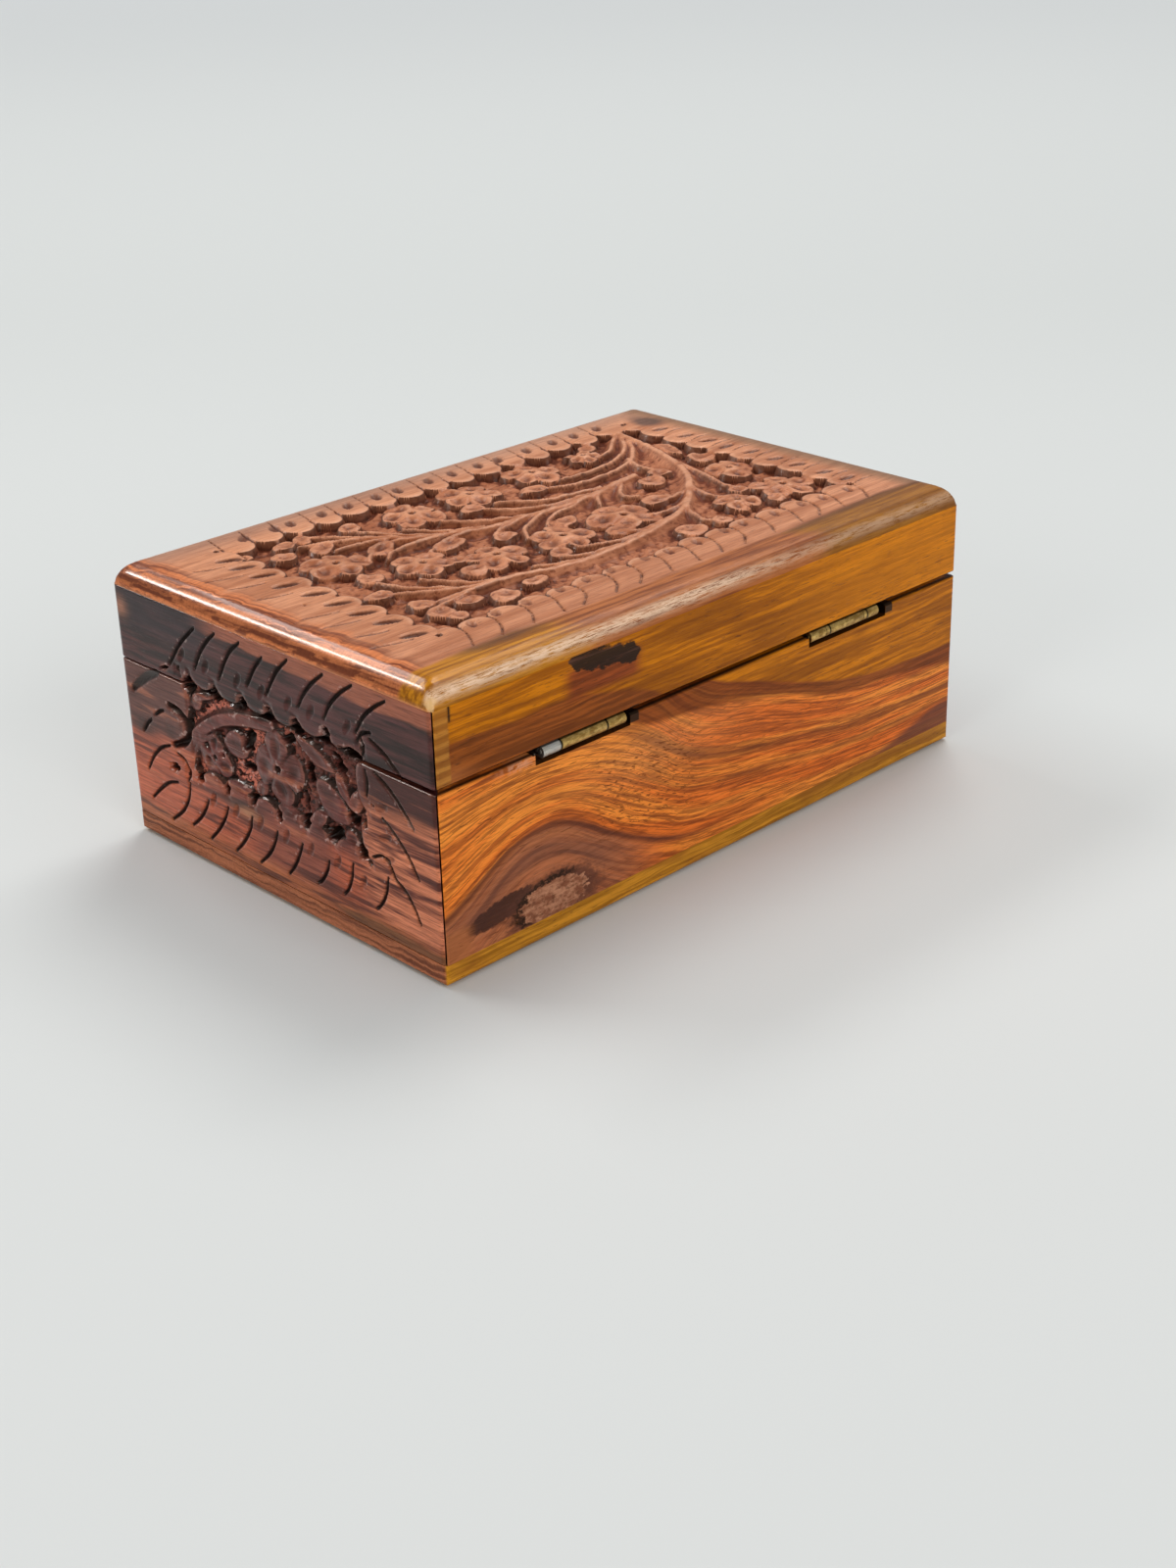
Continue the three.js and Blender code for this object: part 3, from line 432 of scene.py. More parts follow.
def board(name, us, vs, front, back, face):
    """Joins the carved face, placed at front, to the board's hidden side at back."""
    bm = bmesh.new()
    bmesh.ops.create_grid(bm, x_segments=len(us) - 1, y_segments=len(vs) - 1, size=1)
    rim = [edge for edge in bm.edges if edge.is_boundary]
    skirt = bmesh.ops.extrude_edge_only(bm, edges=rim)["geom"]
    bmesh.ops.translate(bm, verts=[v for v in skirt if isinstance(v, bmesh.types.BMVert)], vec=(0, 0, -1))
    far = [edge for edge in skirt if isinstance(edge, bmesh.types.BMEdge) and edge.is_boundary]
    bmesh.ops.contextual_create(bm, geom=far)
    for edge in [*rim, *far]:
        edge.smooth = False
    bmesh.ops.recalc_face_normals(bm, faces=bm.faces)
    mesh = bpy.data.meshes.new(name)
    bm.to_mesh(mesh)
    bm.free()
    mesh.shade_smooth()
    count = len(mesh.vertices)
    flat = np.empty(count * 3)
    mesh.vertices.foreach_get("co", flat)
    flat = flat.reshape(-1, 3)
    iu = np.rint((flat[:, 0] + 1) / 2 * (len(us) - 1)).astype(int)
    iv = np.rint((flat[:, 1] + 1) / 2 * (len(vs) - 1)).astype(int)
    outside = flat[:, 2] > -0.5
    placed = np.where(outside[:, None], front[iv, iu], back[iv, iu])
    mesh.vertices.foreach_set("co", (placed * MM).ravel())
    for key in MARKS:
        layer = mesh.attributes.new(key, "FLOAT", "POINT")
        layer.data.foreach_set("value", np.where(outside, face[key][iv, iu], 0).astype(np.float32))
    mesh.update()
    print(name, "faces", len(mesh.polygons))
    return add_object(name, mesh)


def lines(low, high, fine_low, fine_high, fine, coarse):
    """Grid lines from low to high, close together between fine_low and fine_high."""
    middle = np.linspace(fine_low, fine_high, int((fine_high - fine_low) / fine) + 1)
    before = np.linspace(low, fine_low, max(1, int((fine_low - low) / coarse)) + 1)[:-1]
    after = np.linspace(fine_high, high, max(1, int((high - fine_high) / coarse)) + 1)[1:]
    return np.concatenate([before, middle, after])


def round_over_lines(inner, radius, last, steps=8):
    """Extra grid lines that follow a rounded edge, until it has dropped as far as last."""
    turn = np.linspace(0, math.acos(1 - last / radius), steps + 1)[1:]
    return inner + radius * np.sin(turn)


def drop_over(across, half, radius):
    """How far a face that ends at half has dropped, at each point across, over its round edge."""
    past = np.clip(np.abs(across) - (half - radius), 0, radius)
    return radius - np.sqrt(np.clip(radius**2 - past**2, 0, None))


def round_plan(x, y, half_x, half_y, radius):
    """Pulls the corners of a plan in to the given radius."""
    a = np.clip(np.abs(x) - (half_x - radius), 0, None)
    b = np.clip(np.abs(y) - (half_y - radius), 0, None)
    far = np.hypot(a, b)
    pull = np.where(far > 0, np.maximum(a, b) / np.where(far > 0, far, 1), 1)
    return (np.where(a > 0, np.sign(x) * (half_x - radius + a * pull), x),
            np.where(b > 0, np.sign(y) * (half_y - radius + b * pull), y))


# %% [markdown]
# ## The vine on the top
# The lists give the crest of each stem, from root to tip, and the middle of each flower and bud.
# The vine grows from one corner, splits in three, and each branch ends in a flower, as is usual
# in this north Indian work.

# %% The vine on the top
TRUNKS = [
    [(-58.6, -37), (-57.1, -28.7), (-55, -20.2), (-50.7, -9.2), (-45.8, -0.9), (-40, 5), (-34.5, 10.2),
     (-27.7, 14.9), (-20, 18), (-9.9, 20.6), (-0.1, 22.2), (10.6, 22.4), (19.2, 21.2), (27.3, 18.6),
     (31, 18.2)],
    [(-37, -9.8), (-28, -8.5), (-22.5, -7.2), (-15, -6.8), (-5, -6.8), (-0.1, -7.6), (8, -7.6),
     (14.9, -10.1), (17.4, -11.4)],
]
STEMS = [
    [(-58, -36.5), (-52.4, -32.2), (-46.5, -27.5), (-41.7, -27)],
    [(-57, -34), (-52.4, -28), (-48.2, -24.5), (-43.9, -22.2), (-39.6, -20.8), (-34.5, -20),
     (-29, -20.2), (-24.2, -21)],
    [(-56.5, -31), (-52.4, -25.4), (-49, -22), (-45.6, -19), (-41.7, -17.1), (-37.9, -16),
     (-33.2, -15.4), (-26.8, -15.2), (-21.7, -16.4), (-16, -19.5)],
    [(-45, -19.5), (-43, -14), (-43.4, -10)],
    [(31, 18.6), (35.3, 16), (37.9, 12.3), (40, 8.9), (42.1, 5.5)],
    [(33, 18.2), (39.6, 16.1), (43, 12.3), (45.6, 9.3), (48.1, 5.5), (49.6, 0.4)],
    [(36, 17.8), (41.3, 15.3), (45.5, 12.3), (49.8, 8.9), (52.4, 7.2)],
    [(31, 18.4), (40.4, 18.2), (45.5, 18), (49, 17.8), (51.5, 17.1)],
    [(40.4, 18.6), (45.5, 19.5), (49, 20), (51.5, 21.7)],
    [(-25.1, -9.2), (-20, -10.4), (-14, -11.4), (-10.8, -12.7), (-7.8, -14.8), (-5.2, -17.4),
     (-2.2, -19.9)],
    [(-20, -7.6), (-14, -8.2), (-8.6, -8.8), (-5, -11), (-2.2, -13.1), (0.3, -15.7), (2.5, -18.7)],
    [(-0.1, -7.6), (4.2, -9.8), (8, -12.7), (11.4, -15.7), (14.7, -19.1)],
    [(11.4, -8.9), (14.9, -11), (19.2, -14), (21.7, -17.4), (23.8, -21.6)],
    [(17.4, -10.6), (21.3, -12.7), (25.1, -17), (28.1, -21.2), (30.3, -25), (32.2, -29.3)],
    [(21, -12.6), (25.1, -14.8), (28.6, -18.2), (30.6, -21.2), (33.6, -24.2), (36.6, -28),
     (39.2, -31.4), (41.7, -33.9)],
    [(29, -19.5), (32.7, -22.4), (36.6, -25), (40.4, -27.2), (43.8, -28.6), (46.8, -29.3)],
    [(28.6, -18.6), (32.7, -20.3), (37.4, -21.6), (42.5, -21.8)],
    [(22, -12.7), (29.8, -17), (33.2, -17.5), (36.1, -16.5), (38.7, -14.4), (41.7, -11.8)],
    [(20, -12), (28.6, -12.5), (31, -12.5), (35.3, -11.8), (38.3, -9.3)],
    [(14, -9.6), (21.3, -9), (25.1, -8.2), (29.4, -5.8)],
    [(2, -7), (4.6, -6.3), (9.8, -5), (13.6, -2.9)],
    [(-6, -6.4), (-2.2, -5.5), (1, -4), (5.5, -1.7), (8, 1.3), (9.8, 3.8)],
    [(-18, -6.4), (-10.8, -4.5), (-6.5, -3.8), (-2.2, -2.1), (0.8, 0.5)],
    [(-26, -8), (-20.8, -5.5), (-18.2, -2.5), (-16.5, -0.4)],
    [(-32, -9), (-27.7, -5), (-25.9, -3.3), (-24.7, -0.4), (-26.8, 1.8)],
    [(-42, 3), (-39.6, 6.6), (-38.3, 11.1), (-37.9, 13.2), (-39, 17)],
    [(-31, 13), (-27.2, 17), (-25.9, 20.5), (-24.7, 23.9), (-26.8, 26.4)],
    [(-51, -8), (-48.2, 3.3), (-46.9, 8), (-45.6, 11), (-46.5, 14)],
    [(-42, 3), (-37.9, 6.5), (-34.5, 7.2), (-31.1, 8), (-28, 6.8)],
    [(-38, 7), (-32.3, 11.4), (-28, 13.2), (-22.5, 13.6), (-20.4, 12.7)],
    [(-22, 17.4), (-14, 18.4), (-9, 17.8), (-7.8, 14.8)],
    [(-14, 19.6), (-5, 20), (-0.1, 19), (4.2, 16.9), (6.3, 15.7)],
    [(-1, 22), (6.3, 21.2), (10.6, 19.5), (12.7, 17.8)],
    [(11, 22.4), (16.2, 20.8), (19.2, 18.6), (20.9, 17.4)],
]
FLOWERS = [
    ((48.2, -14.6), 7.5, 5, 20), ((15.8, -27.8), 7.2, 5, 50), ((-1.8, -28), 7.2, 5, 10),
    ((-22.5, -29.2), 6.6, 5, 30), ((35.7, -1), 7.2, 5, 0), ((21.7, 6.8), 7.0, 5, 40),
    ((4, 8.8), 7.2, 5, 20), ((-14.8, 8.8), 7.8, 5, 55), ((-55.4, 3.6), 6.2, 3, 75),
    ((-54.6, 20.9), 7.4, 5, 25), ((-39.2, 20.8), 5.2, 4, 45), ((-39.6, -29.4), 4.6, 5, 10),
]
BUDS = [
    ((48.2, -33), 2.5, 2.4, 0), ((52.4, -27.2), 2.9, 2.5, 0), ((43.4, -25.5), 3.2, 2.6, 30),
    ((43, -33.2), 2.8, 1.8, 60), ((31, -31.4), 2.6, 2.3, 0), ((4, -20.8), 2.9, 2.6, 0),
    ((-14.8, -20.7), 3.1, 2.7, 0), ((-43.4, -7.6), 2.7, 2.6, 0), ((-58.4, -8), 3.3, 2.9, 0),
    ((-57.8, -19.3), 5.2, 1.9, 82), ((-37.5, -4.3), 3.5, 2.9, 0), ((35, -15.6), 4.2, 2.6, 25),
    ((23.4, -6.6), 4.2, 2.4, 10), ((11.6, -1.5), 3.6, 2.1, 20), ((-3.5, 1.2), 3.1, 2.6, 0),
    ((48.6, -2.8), 2.7, 2.6, 0), ((30.6, 9.7), 2.9, 2.7, 0), ((11, 15.3), 2.6, 2.4, 0),
    ((-8.2, 14.6), 3.3, 2.9, 0), ((-28, 5.8), 3.4, 2.9, 0), ((-18.2, 26.4), 3.6, 3.1, 0),
    ((-27.6, 26.8), 2.4, 2.1, 0), ((36.4, 25.4), 3.3, 2.9, 0), ((26.4, 23.8), 3.4, 1.6, 5),
    ((51.3, 16.6), 2.9, 2.5, 0), ((51.5, 22.8), 3.1, 2.6, 0), ((50.4, 27), 2.1, 1.9, 0),
    ((43, 22), 3.2, 2.1, 0), ((54, 6.4), 3.1, 2.5, 0), ((-44.5, -33.2), 3.0, 2.2, 40),
    ((-45.8, 15), 2.4, 2.0, 0), ((28.8, 2.4), 2.4, 2.0, 0), ((-47.5, 25.6), 2.8, 2.2, 30),
    ((59, -33), 2.0, 1.8, 0),
]
print("top:", len(TRUNKS) + len(STEMS), "stems", len(FLOWERS), "flowers", len(BUDS), "buds")

# %% [markdown]
# ## The top's border, stroke by stroke
# The border's strokes are listed where they lie in the photograph: notches with a V cut running
# out from each, and the gouge mark in each lobe.

# %% The top's border, stroke by stroke
TOP_LOW_CORNER, TOP_HIGH_CORNER = (-65, -41), (61, 33)
TOP_NOTCHES = {
    "rear": [55.6, 47.3, 39, 31.5, 24.1, 15.3, 8, 0.1, -8, -15.7, -23.8, -32.5, -41.1, -48.4, -55.2],
    "front": [51.1, 43, 34.5, 27, 18.7, 10.6, 2.5, -5, -12.7, -21.7, -29.3, -37, -45, -53.5],
    "right": [-31, -24.2, -16.5, -8, 0.5, 8.3, 16, 24.4],
    "left": [-34, -26, -18.5, -11.5, -4.5, 3, 10.5, 18.2, 26],
}
REAR_THUMBS = [
    (52.4, 33), (45.1, 32), (37, 32.3), (27.3, 32), (19.8, 32), (12.5, 31.8), (2.5, 32), (-3.8, 33),
    (-12, 33.5), (-21.5, 32.7), (-27.7, 32.7), (-37.2, 33.5), (-46.4, 33.5), (-52.7, 34.3), (-61, 34.8),
]
FRONT_THUMBS = [51.5, 43, 38.5, 29.7, 22.1, 13.8, 7.4, -2, -9.3, -17.6, -24, -33.4, -42.2, -49.4, -57.4]
RIGHT_THUMBS = [
    (62.2, -33.5), (63, -27.6), (63, -20.4), (63.5, -12), (62.5, -3.5), (62.8, 4.3), (63, 12.3),
    (62.8, 19.8), (63.9, 29),
]
RIGHT_CUTS = [-31.5, -24.2, -17, -8, 7.6, 14.5, 23, 30]
LEFT_THUMBS = [-30.5, -22, -15, -8.5, -1, 7, 14, 22.5, 29.3]
SIDE_CUT, END_CUT = 0.62, 0.7
CUT_DEPTHS = (0.5, 0.75)


def top_border(carving):
    draw = np.random.RandomState(11)

    def gouge(place, half_long, half_short, turn, swing, depths, ink_and_shade):
        turn += draw.uniform(-swing, swing)
        carving.thumb(place, half_long, half_short, turn, draw.uniform(*depths), lean=0.3, ink_and_shade=ink_and_shade)

    for x in [*TOP_NOTCHES["rear"], -64.4]:
        line = [(x - 0.4, 32), (x + 0.6, 35.4), (x + 2.2, 38.6), (x + draw.uniform(4.0, 6.4), 42)]
        carving.cut(line, SIDE_CUT, draw.uniform(*CUT_DEPTHS), root=0.75)
    for place in REAR_THUMBS:
        gouge(place, 2.3, 1.35, 1.1, 0.2, (0.7, 1.0), 0.45)
    for x in [*TOP_NOTCHES["front"], 59.2]:
        line = [(x, -39.4), (x - 0.6, -42.6), (x - 1.6, -47.4)]
        carving.cut(line, SIDE_CUT, draw.uniform(*CUT_DEPTHS), root=0.8)
    for x in FRONT_THUMBS:
        gouge((x, -42.8), 2.7, 1.5, 1.05, 0.15, (0.9, 1.15), 0.6)
    for y in RIGHT_CUTS:
        line = [(65.4, y + 0.6), (68.5, y - 0.1), (72.4 + draw.uniform(-1, 1), y - 1.6)]
        carving.cut(line, END_CUT, draw.uniform(*CUT_DEPTHS), root=0.7)
    for place in RIGHT_THUMBS:
        gouge(place, 3.5, 1.45, -0.4, 0.12, (1.0, 1.3), 0.9)
    carving.pit((68, 0), 0.7, 0.6, depth=0.9)
    for y in LEFT_THUMBS:
        gouge((-68 + draw.uniform(-0.5, 0.5), y), 2.9, 1.3, -0.25, 0.2, (0.9, 1.2), 0.7)
        carving.cut([(-66, y + 3.6), (-69, y + 3.0), (-71.6, y + 3.4)], END_CUT, 0.55, root=0.6)


# %% [markdown]
# ## The top board
# The strokes come first and the border last, because its cuts are made through what stands. The
# grid is fine where there is carving and coarse beside it, and a few extra lines follow the worn
# edge down to the seam. What was drawn from a photograph is shifted by SIGHT for each mm of depth.

# %% The top board
TOP_DEPTH = 2.1
TOP_GRID = 0.365
TOP_CARVED_X, TOP_CARVED_Y = (-71.8, 73), (-46.5, 42.4)
SIGHT = (2.0, 2.15)
BUD_SWELL = 1.08


def carve_top(carving):
    """The vine first, then the strokes of the border."""
    inside = lobed_field(carving, TOP_LOW_CORNER, TOP_HIGH_CORNER, TOP_NOTCHES, deep=("front",))
    for points in TRUNKS:
        carving.ridge(points, level=-0.05, drop=1.95, root=4.0, tip=3.1, crest=0.55)
    for points in STEMS:
        carving.ridge(points, level=-0.25, drop=1.85, root=3.0, tip=1.5, crest=0.36)
    for centre, radius, petals, turn in FLOWERS:
        carving.flower(centre, radius, petals, math.radians(turn))
    for centre, half_long, half_short, turn in BUDS:
        carving.boss(centre, half_long * BUD_SWELL, half_short * BUD_SWELL, math.radians(turn),
                     level=-0.25, dish=0.85, hollow=0.75)
    top_border(carving)
    return finish_face(carving, inside, TOP_DEPTH, 21, rough=(0.36, 0.24), uneven=(0.17, 0.08))


def top_lines(half, carved_span):
    """The top's grid lines one way: fine where it is carved, and along the worn edge."""
    flat = half - ROUND_OVER
    outer = round_over_lines(flat, ROUND_OVER, HEIGHT - SEAM)
    return np.concatenate([-outer[::-1], lines(-flat, flat, *carved_span, TOP_GRID, 1.2), outer])


def top_board():
    """The carved face, bent down over the worn edge, above a plain underside at the seam."""
    us, vs = top_lines(HALF_X, TOP_CARVED_X), top_lines(HALF_Y, TOP_CARVED_Y)
    face = carved(carve_top, us, vs, TOP_GRID, SIGHT)
    X, Y = face["U"], face["V"]
    drop_x = drop_over(X, HALF_X, ROUND_OVER)
    drop_y = drop_over(Y, HALF_Y, ROUND_OVER)
    drop = np.minimum((drop_x**2.5 + drop_y**2.5) ** 0.4, HEIGHT - SEAM)
    px, py = round_plan(X, Y, HALF_X, HALF_Y, CORNER)
    front = np.stack([px, py, HEIGHT - drop + face["relief"]], -1)
    back = np.stack([px, py, np.full_like(px, SEAM)], -1)
    return board("carved_top", us, vs, front, back, face)


top = top_board()
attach(top, "lid")
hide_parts("lid_top_panel")
carved_pieces = {"lid_top_panel": top}

# %% [markdown]
# ## The ends
# The ends and the front are carved across the gap between base and lid, so one function carves
# any height of the face, and each board asks only for its own part.

# %% The ends
WALL_DEPTH = 1.8
END_LOW_CORNER, END_HIGH_CORNER = (-31, 19.5), (31, 45.3)
END_CUTS = [
    [(-22.9, 56), (-25.4, 53.9), (-28.4, 51.2), (-30.7, 48.5), (-33.3, 45.1)],
    [(-15.7, 56.6), (-18.5, 54.3), (-21.6, 50.8), (-24, 46.6)],
    [(-7.3, 56.8), (-10.5, 54.3), (-13.2, 50.8), (-15.5, 46.6)],
    [(0.1, 55.6), (-2.9, 52.4), (-5.8, 47.8)],
    [(8.6, 57.5), (5.1, 54.3), (2.5, 50.8), (0.6, 47.6)],
    [(19.8, 57.5), (15.8, 54.3), (12.7, 50.8), (11, 48)],
    [(28.7, 57.7), (24.5, 54.7), (21.1, 51.2), (19.2, 47.8)],
    [(38.6, 57.2), (34.8, 54.7), (31.4, 51.6), (28.9, 47.6)],
    [(-30.5, 17.9), (-31.8, 14.1), (-34.5, 10.2), (-38.9, 6.6)],
    [(-24.2, 16), (-26.1, 12.9), (-28.4, 10.2), (-31.3, 7.7)],
    [(-17, 16.7), (-18.9, 13.3), (-21.6, 9.8), (-24.8, 6.6)],
    [(-8.6, 17.1), (-9.7, 14.1), (-12.4, 10.2), (-15.5, 7)],
    [(0.1, 16.7), (-1.8, 12.9), (-4.1, 9.8), (-7.1, 7)],
    [(8.4, 16.7), (6.7, 13.3), (4.8, 10.2), (2.9, 7.9)],
    [(17.1, 15.8), (15.8, 12.9), (13.9, 10.2), (12.7, 9.3)],
    [(24.9, 17.9), (24, 14.4), (22.6, 11.4), (21.3, 9.8)],
    [(35.9, 18.7), (34.8, 14.8), (33.1, 11.8), (31.6, 10.2)],
    [(-42.9, 29.6), (-44.8, 27.9), (-46.3, 25.9)],
    [(-37.9, 33), (-39.6, 32.2), (-41.3, 31.1)],
    [(-36.8, 25), (-40.6, 23.3), (-44, 20.2), (-46.3, 16.7)],
    [(-35.2, 16.7), (-39, 15.4), (-42.5, 12.9), (-45.9, 9.8)],
    [(33.1, 47.4), (37.5, 45.3), (39.7, 43.6), (41.8, 42)],
    [(34, 40.9), (37.5, 39), (40.9, 36.3), (44.7, 32.3)],
    [(35.4, 31.5), (39, 29), (42.4, 25.7), (45.4, 21.5)],
    [(31.4, 21.7), (34.4, 22.9), (36.7, 21.7), (38.2, 19), (40.9, 17.5), (43.2, 14.8), (45.1, 11.6)],
    [(-34.9, 34.8), (-30.5, 33.4), (-29.2, 30.2), (-30.7, 28.2), (-34.9, 25.9)],
    [(-34.1, 24), (-31.4, 22.9), (-30.5, 20.6), (-31.1, 18.3)],
    [(29.1, 45.9), (30.6, 47.8), (33.5, 48.9)],
    [(30.4, 47.4), (30.6, 45), (30.4, 42.8)],
    [(31, 40.5), (31.2, 38), (31, 35)],
]
THUMBS_BY_ANGLE = {
    60: [(-28.4, 48.4), (-20, 48), (-9, 48), (-1, 47.6), (7.8, 47.6), (15, 47.8), (26.4, 48)],
    65: [(3.2, 16.7), (11.2, 16.4), (20, 16.5), (27.9, 14.8), (-5.6, 16.8), (-14, 16.8), (-22, 16.8)],
    20: [(35.3, 33.8), (36, 27.6), (36.4, 22.8)],
    15: [(-35.6, 20.2)],
}
END_STEMS = [
    (2.0, 1.4, 1.25, [(-31.4, 24.8), (-29.2, 27.9), (-25.4, 31.6), (-21.6, 34.3), (-17.8, 36.4),
                      (-14, 37.8), (-10.1, 38.8), (-6.4, 39.5), (0, 40.4)]),
    (1.6, 1.0, 0.5, [(-29, 24.4), (-25, 29.4), (-20, 32.4)]),
    (1.6, 1.0, 0.8, [(-30.5, 36), (-26, 39.2), (-20, 41.4)]),
]
END_FLOWERS = [((2.0, 31.4), 7.6, 4, 6), ((-20.0, 27.4), 5.4, 3, 95)]
END_LEAVES = [
    ((-12.6, 32.3), 4.8, 3.0, 12, 1.8), ((19.0, 29.2), 5.6, 3.8, -30, 1.8),
    ((27.2, 32.3), 2.8, 1.9, 60, 2.0), ((14.2, 38.4), 6.8, 1.9, -22, 1.5),
    ((23.0, 33.2), 4.2, 1.4, -50, 1.5), ((-26.0, 38.4), 3.2, 2.0, 35, 1.6),
    ((-3.4, 43.6), 3.0, 1.6, 0, 1.8), ((-13.6, 22.2), 4.4, 1.8, 8, 1.6),
    ((4.6, 22.4), 4.0, 1.7, -5, 1.6), ((14.0, 24.2), 3.4, 1.8, 25, 1.6),
    ((24.4, 23.4), 2.6, 1.6, 0, 1.6), ((-4.4, 25.2), 2.6, 1.6, 40, 1.6),
]
END_PITS = [
    ((-8.6, 34.6), 1.9, 2.8, 0), ((-10.1, 28), 2.3, 1.4, 0), ((11.4, 33.6), 1.4, 2.6, 0),
    ((9.0, 26.6), 1.2, 2.8, 0.2), ((5.5, 39), 1.9, 1.2, 0), ((21.0, 38.2), 1.2, 3.4, 0.75),
    ((24.6, 27.4), 1.2, 1.7, 0), ((29.5, 29), 1.0, 2.2, 0), ((26.2, 42), 3.6, 1.7, 0),
    ((-26.5, 20.4), 1.4, 1.2, 0), ((-17, 20.8), 1.4, 1.2, 0), ((-7.9, 21.3), 1.5, 1.3, 0),
    ((1, 20.4), 1.4, 1.2, 0), ((9.7, 22), 1.6, 1.5, 0), ((18.8, 22), 2.3, 1.6, 0),
    ((28.3, 21.7), 2.1, 1.6, 0), ((-28.0, 42.2), 1.9, 1.3, 0.6), ((-18.6, 41.8), 2.1, 1.3, 0.9),
    ((-8.3, 43.4), 1.5, 1.1, 0), ((0.9, 43.6), 1.5, 1.1, 0), ((9.7, 43.6), 1.5, 1.1, 0),
    ((19.2, 44.4), 1.7, 1.3, 0), ((2.3, 31.8), 0.9, 0.7, 0), ((-23.1, 26.3), 0.6, 0.6, 0),
    ((-17.2, 28.6), 0.6, 0.6, 0), ((32.5, 33.4), 0.55, 0.55, 0), ((-35.6, 43.6), 1.6, 0.5, 0.3),
    ((-35.8, 20.2), 2.2, 1.1, 0.25),
]
END_NOTCHES = {
    "front": [-26.5, -17, -7.9, 1, 9.7, 18.8], "rear": [-26.9, -17.8, -8.3, 0.9, 9.7, 19.2],
    "left": [32.4], "right": [31.4],
}


def carve_end(carving):
    """The whole end, wall and rail together, drawn as the right end looks from outside."""
    inside = lobed_field(carving, END_LOW_CORNER, END_HIGH_CORNER, END_NOTCHES)
    for root, tip, crest, points in END_STEMS:
        carving.ridge(points, -0.15, 1.5, root, tip, crest)
    for centre, radius, petals, turn in END_FLOWERS:
        carving.flower(centre, radius, petals, math.radians(turn), level=-0.15, dish=0.6)
    for centre, half_long, half_short, turn, sharp in END_LEAVES:
        carving.boss(centre, half_long, half_short, math.radians(turn), -0.2, 0.4, 0.7, sharp)
    carving.boss((-35.8, 29.8), 5.4, 4.8, level=-0.02, dish=0.2, hollow=0.6)
    for points in END_CUTS:
        carving.cut(points, width=1.05, depth=1.0)
    for turn, places in THUMBS_BY_ANGLE.items():
        for centre in places:
            carving.thumb(centre, 2.2, 0.95, math.radians(turn), depth=0.8, ink_and_shade=0.15)
    carving.cut([(-39, 41.4), (-42.5, 39.7), (-45.9, 37.4), (-48.6, 35.3)], width=2.6)
    carving.cut([(-35.4, 35), (-31, 33.8), (-29.4, 30.2), (-31, 27.6), (-35.2, 25.6)], width=2.4, depth=2.0)
    for centre, half_long, half_short, turn in END_PITS:
        carving.pit(centre, half_long, half_short, turn, depth=2.2)
    # Just inside the upper border the field is cut a little deeper and painted near black: a painted shadow
    # under the overhanging lobes.
    under = smooth(inside, 0.1, 0.3) * smooth(inside, 2.0, 0.9) * smooth(carving.V, 35, 40)
    carving.take((slice(None), slice(None)), 0.5 * under, 0.95 * under)
    return finish_face(carving, inside, WALL_DEPTH, 36, rough=(0.3, 0.45))


# %% [markdown]
# ## An upright board
# Each upright board is carved flat and then stood up. Its face ends where the rounded corner of
# the box turns away by half, and its upper and lower edges are eased a little.

# %% An upright board
ARC = CORNER * (1 - math.cos(math.pi / 4))
END_REACH = HALF_Y - ARC
FRONT_REACH = HALF_X - MITRE_GAP - ARC
RIM_BAND = 0.8


def upright(strokes, reach, carved_span, low, high, fine):
    """Carves a board from low to high: its grid lines, its face, and the drop at its edges."""
    us = lines(-reach, reach, *carved_span, fine, 0.5)
    vs = lines(low, high, low + RIM_BAND, high - RIM_BAND, fine, 0.1)
    face = carved(strokes, us, vs, fine)
    drop = drop_over(face["U"], reach + ARC, CORNER)
    drop += drop_over(face["V"] - (low + high) / 2, (high - low) / 2, EASE)
    return us, vs, face, drop


def end_board(name, side, low, high, slope):
    """side is 1 for the right end and -1 for the left, where the same pattern is turned round."""
    us, vs, face, drop = upright(carve_end, END_REACH, (-49, 47), low, high, 0.25)
    U, V = face["U"], face["V"]
    lifted = V + slope * np.clip((U * side + 44) / 88, 0, 1) * (high - V) / (high - low)
    front = np.stack([side * (HALF_X - drop + face["relief"]), side * U, lifted], -1)
    back_u = side * U * (HALF_Y - THICK) / END_REACH
    back = np.stack([np.full_like(U, side * (HALF_X - THICK)), back_u, lifted], -1)
    return board(name, us, vs, front, back, face)


for side, hand in ((1, "right"), (-1, "left")):
    wall = end_board(f"carved_{hand}_wall", side, FLOOR_BOARD, RIM, 0)
    rail = end_board(f"carved_{hand}_rail", side, LID_FRONT, SEAM, LID_REAR - LID_FRONT)
    for piece, body, node in ((wall, "base", f"base_{hand}_wall"), (rail, "lid", f"lid_{hand}_rail")):
        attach(piece, body)
        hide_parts(node)
        carved_pieces[node] = piece

# %% [markdown]
# ## The front
# The front can't be seen in the photograph. It is carved in the same manner, with a stem that runs
# up and down along the board, a flower in each bend and two buds on each crest.

# %% The front
FRONT_LOW_CORNER, FRONT_HIGH_CORNER = (-61, 19.5), (61, 45.3)
FRONT_PITCH = 8.4
BENDS = 5
VINE_REACH, VINE_LEVEL, VINE_SWING = 55, 31, 4.5


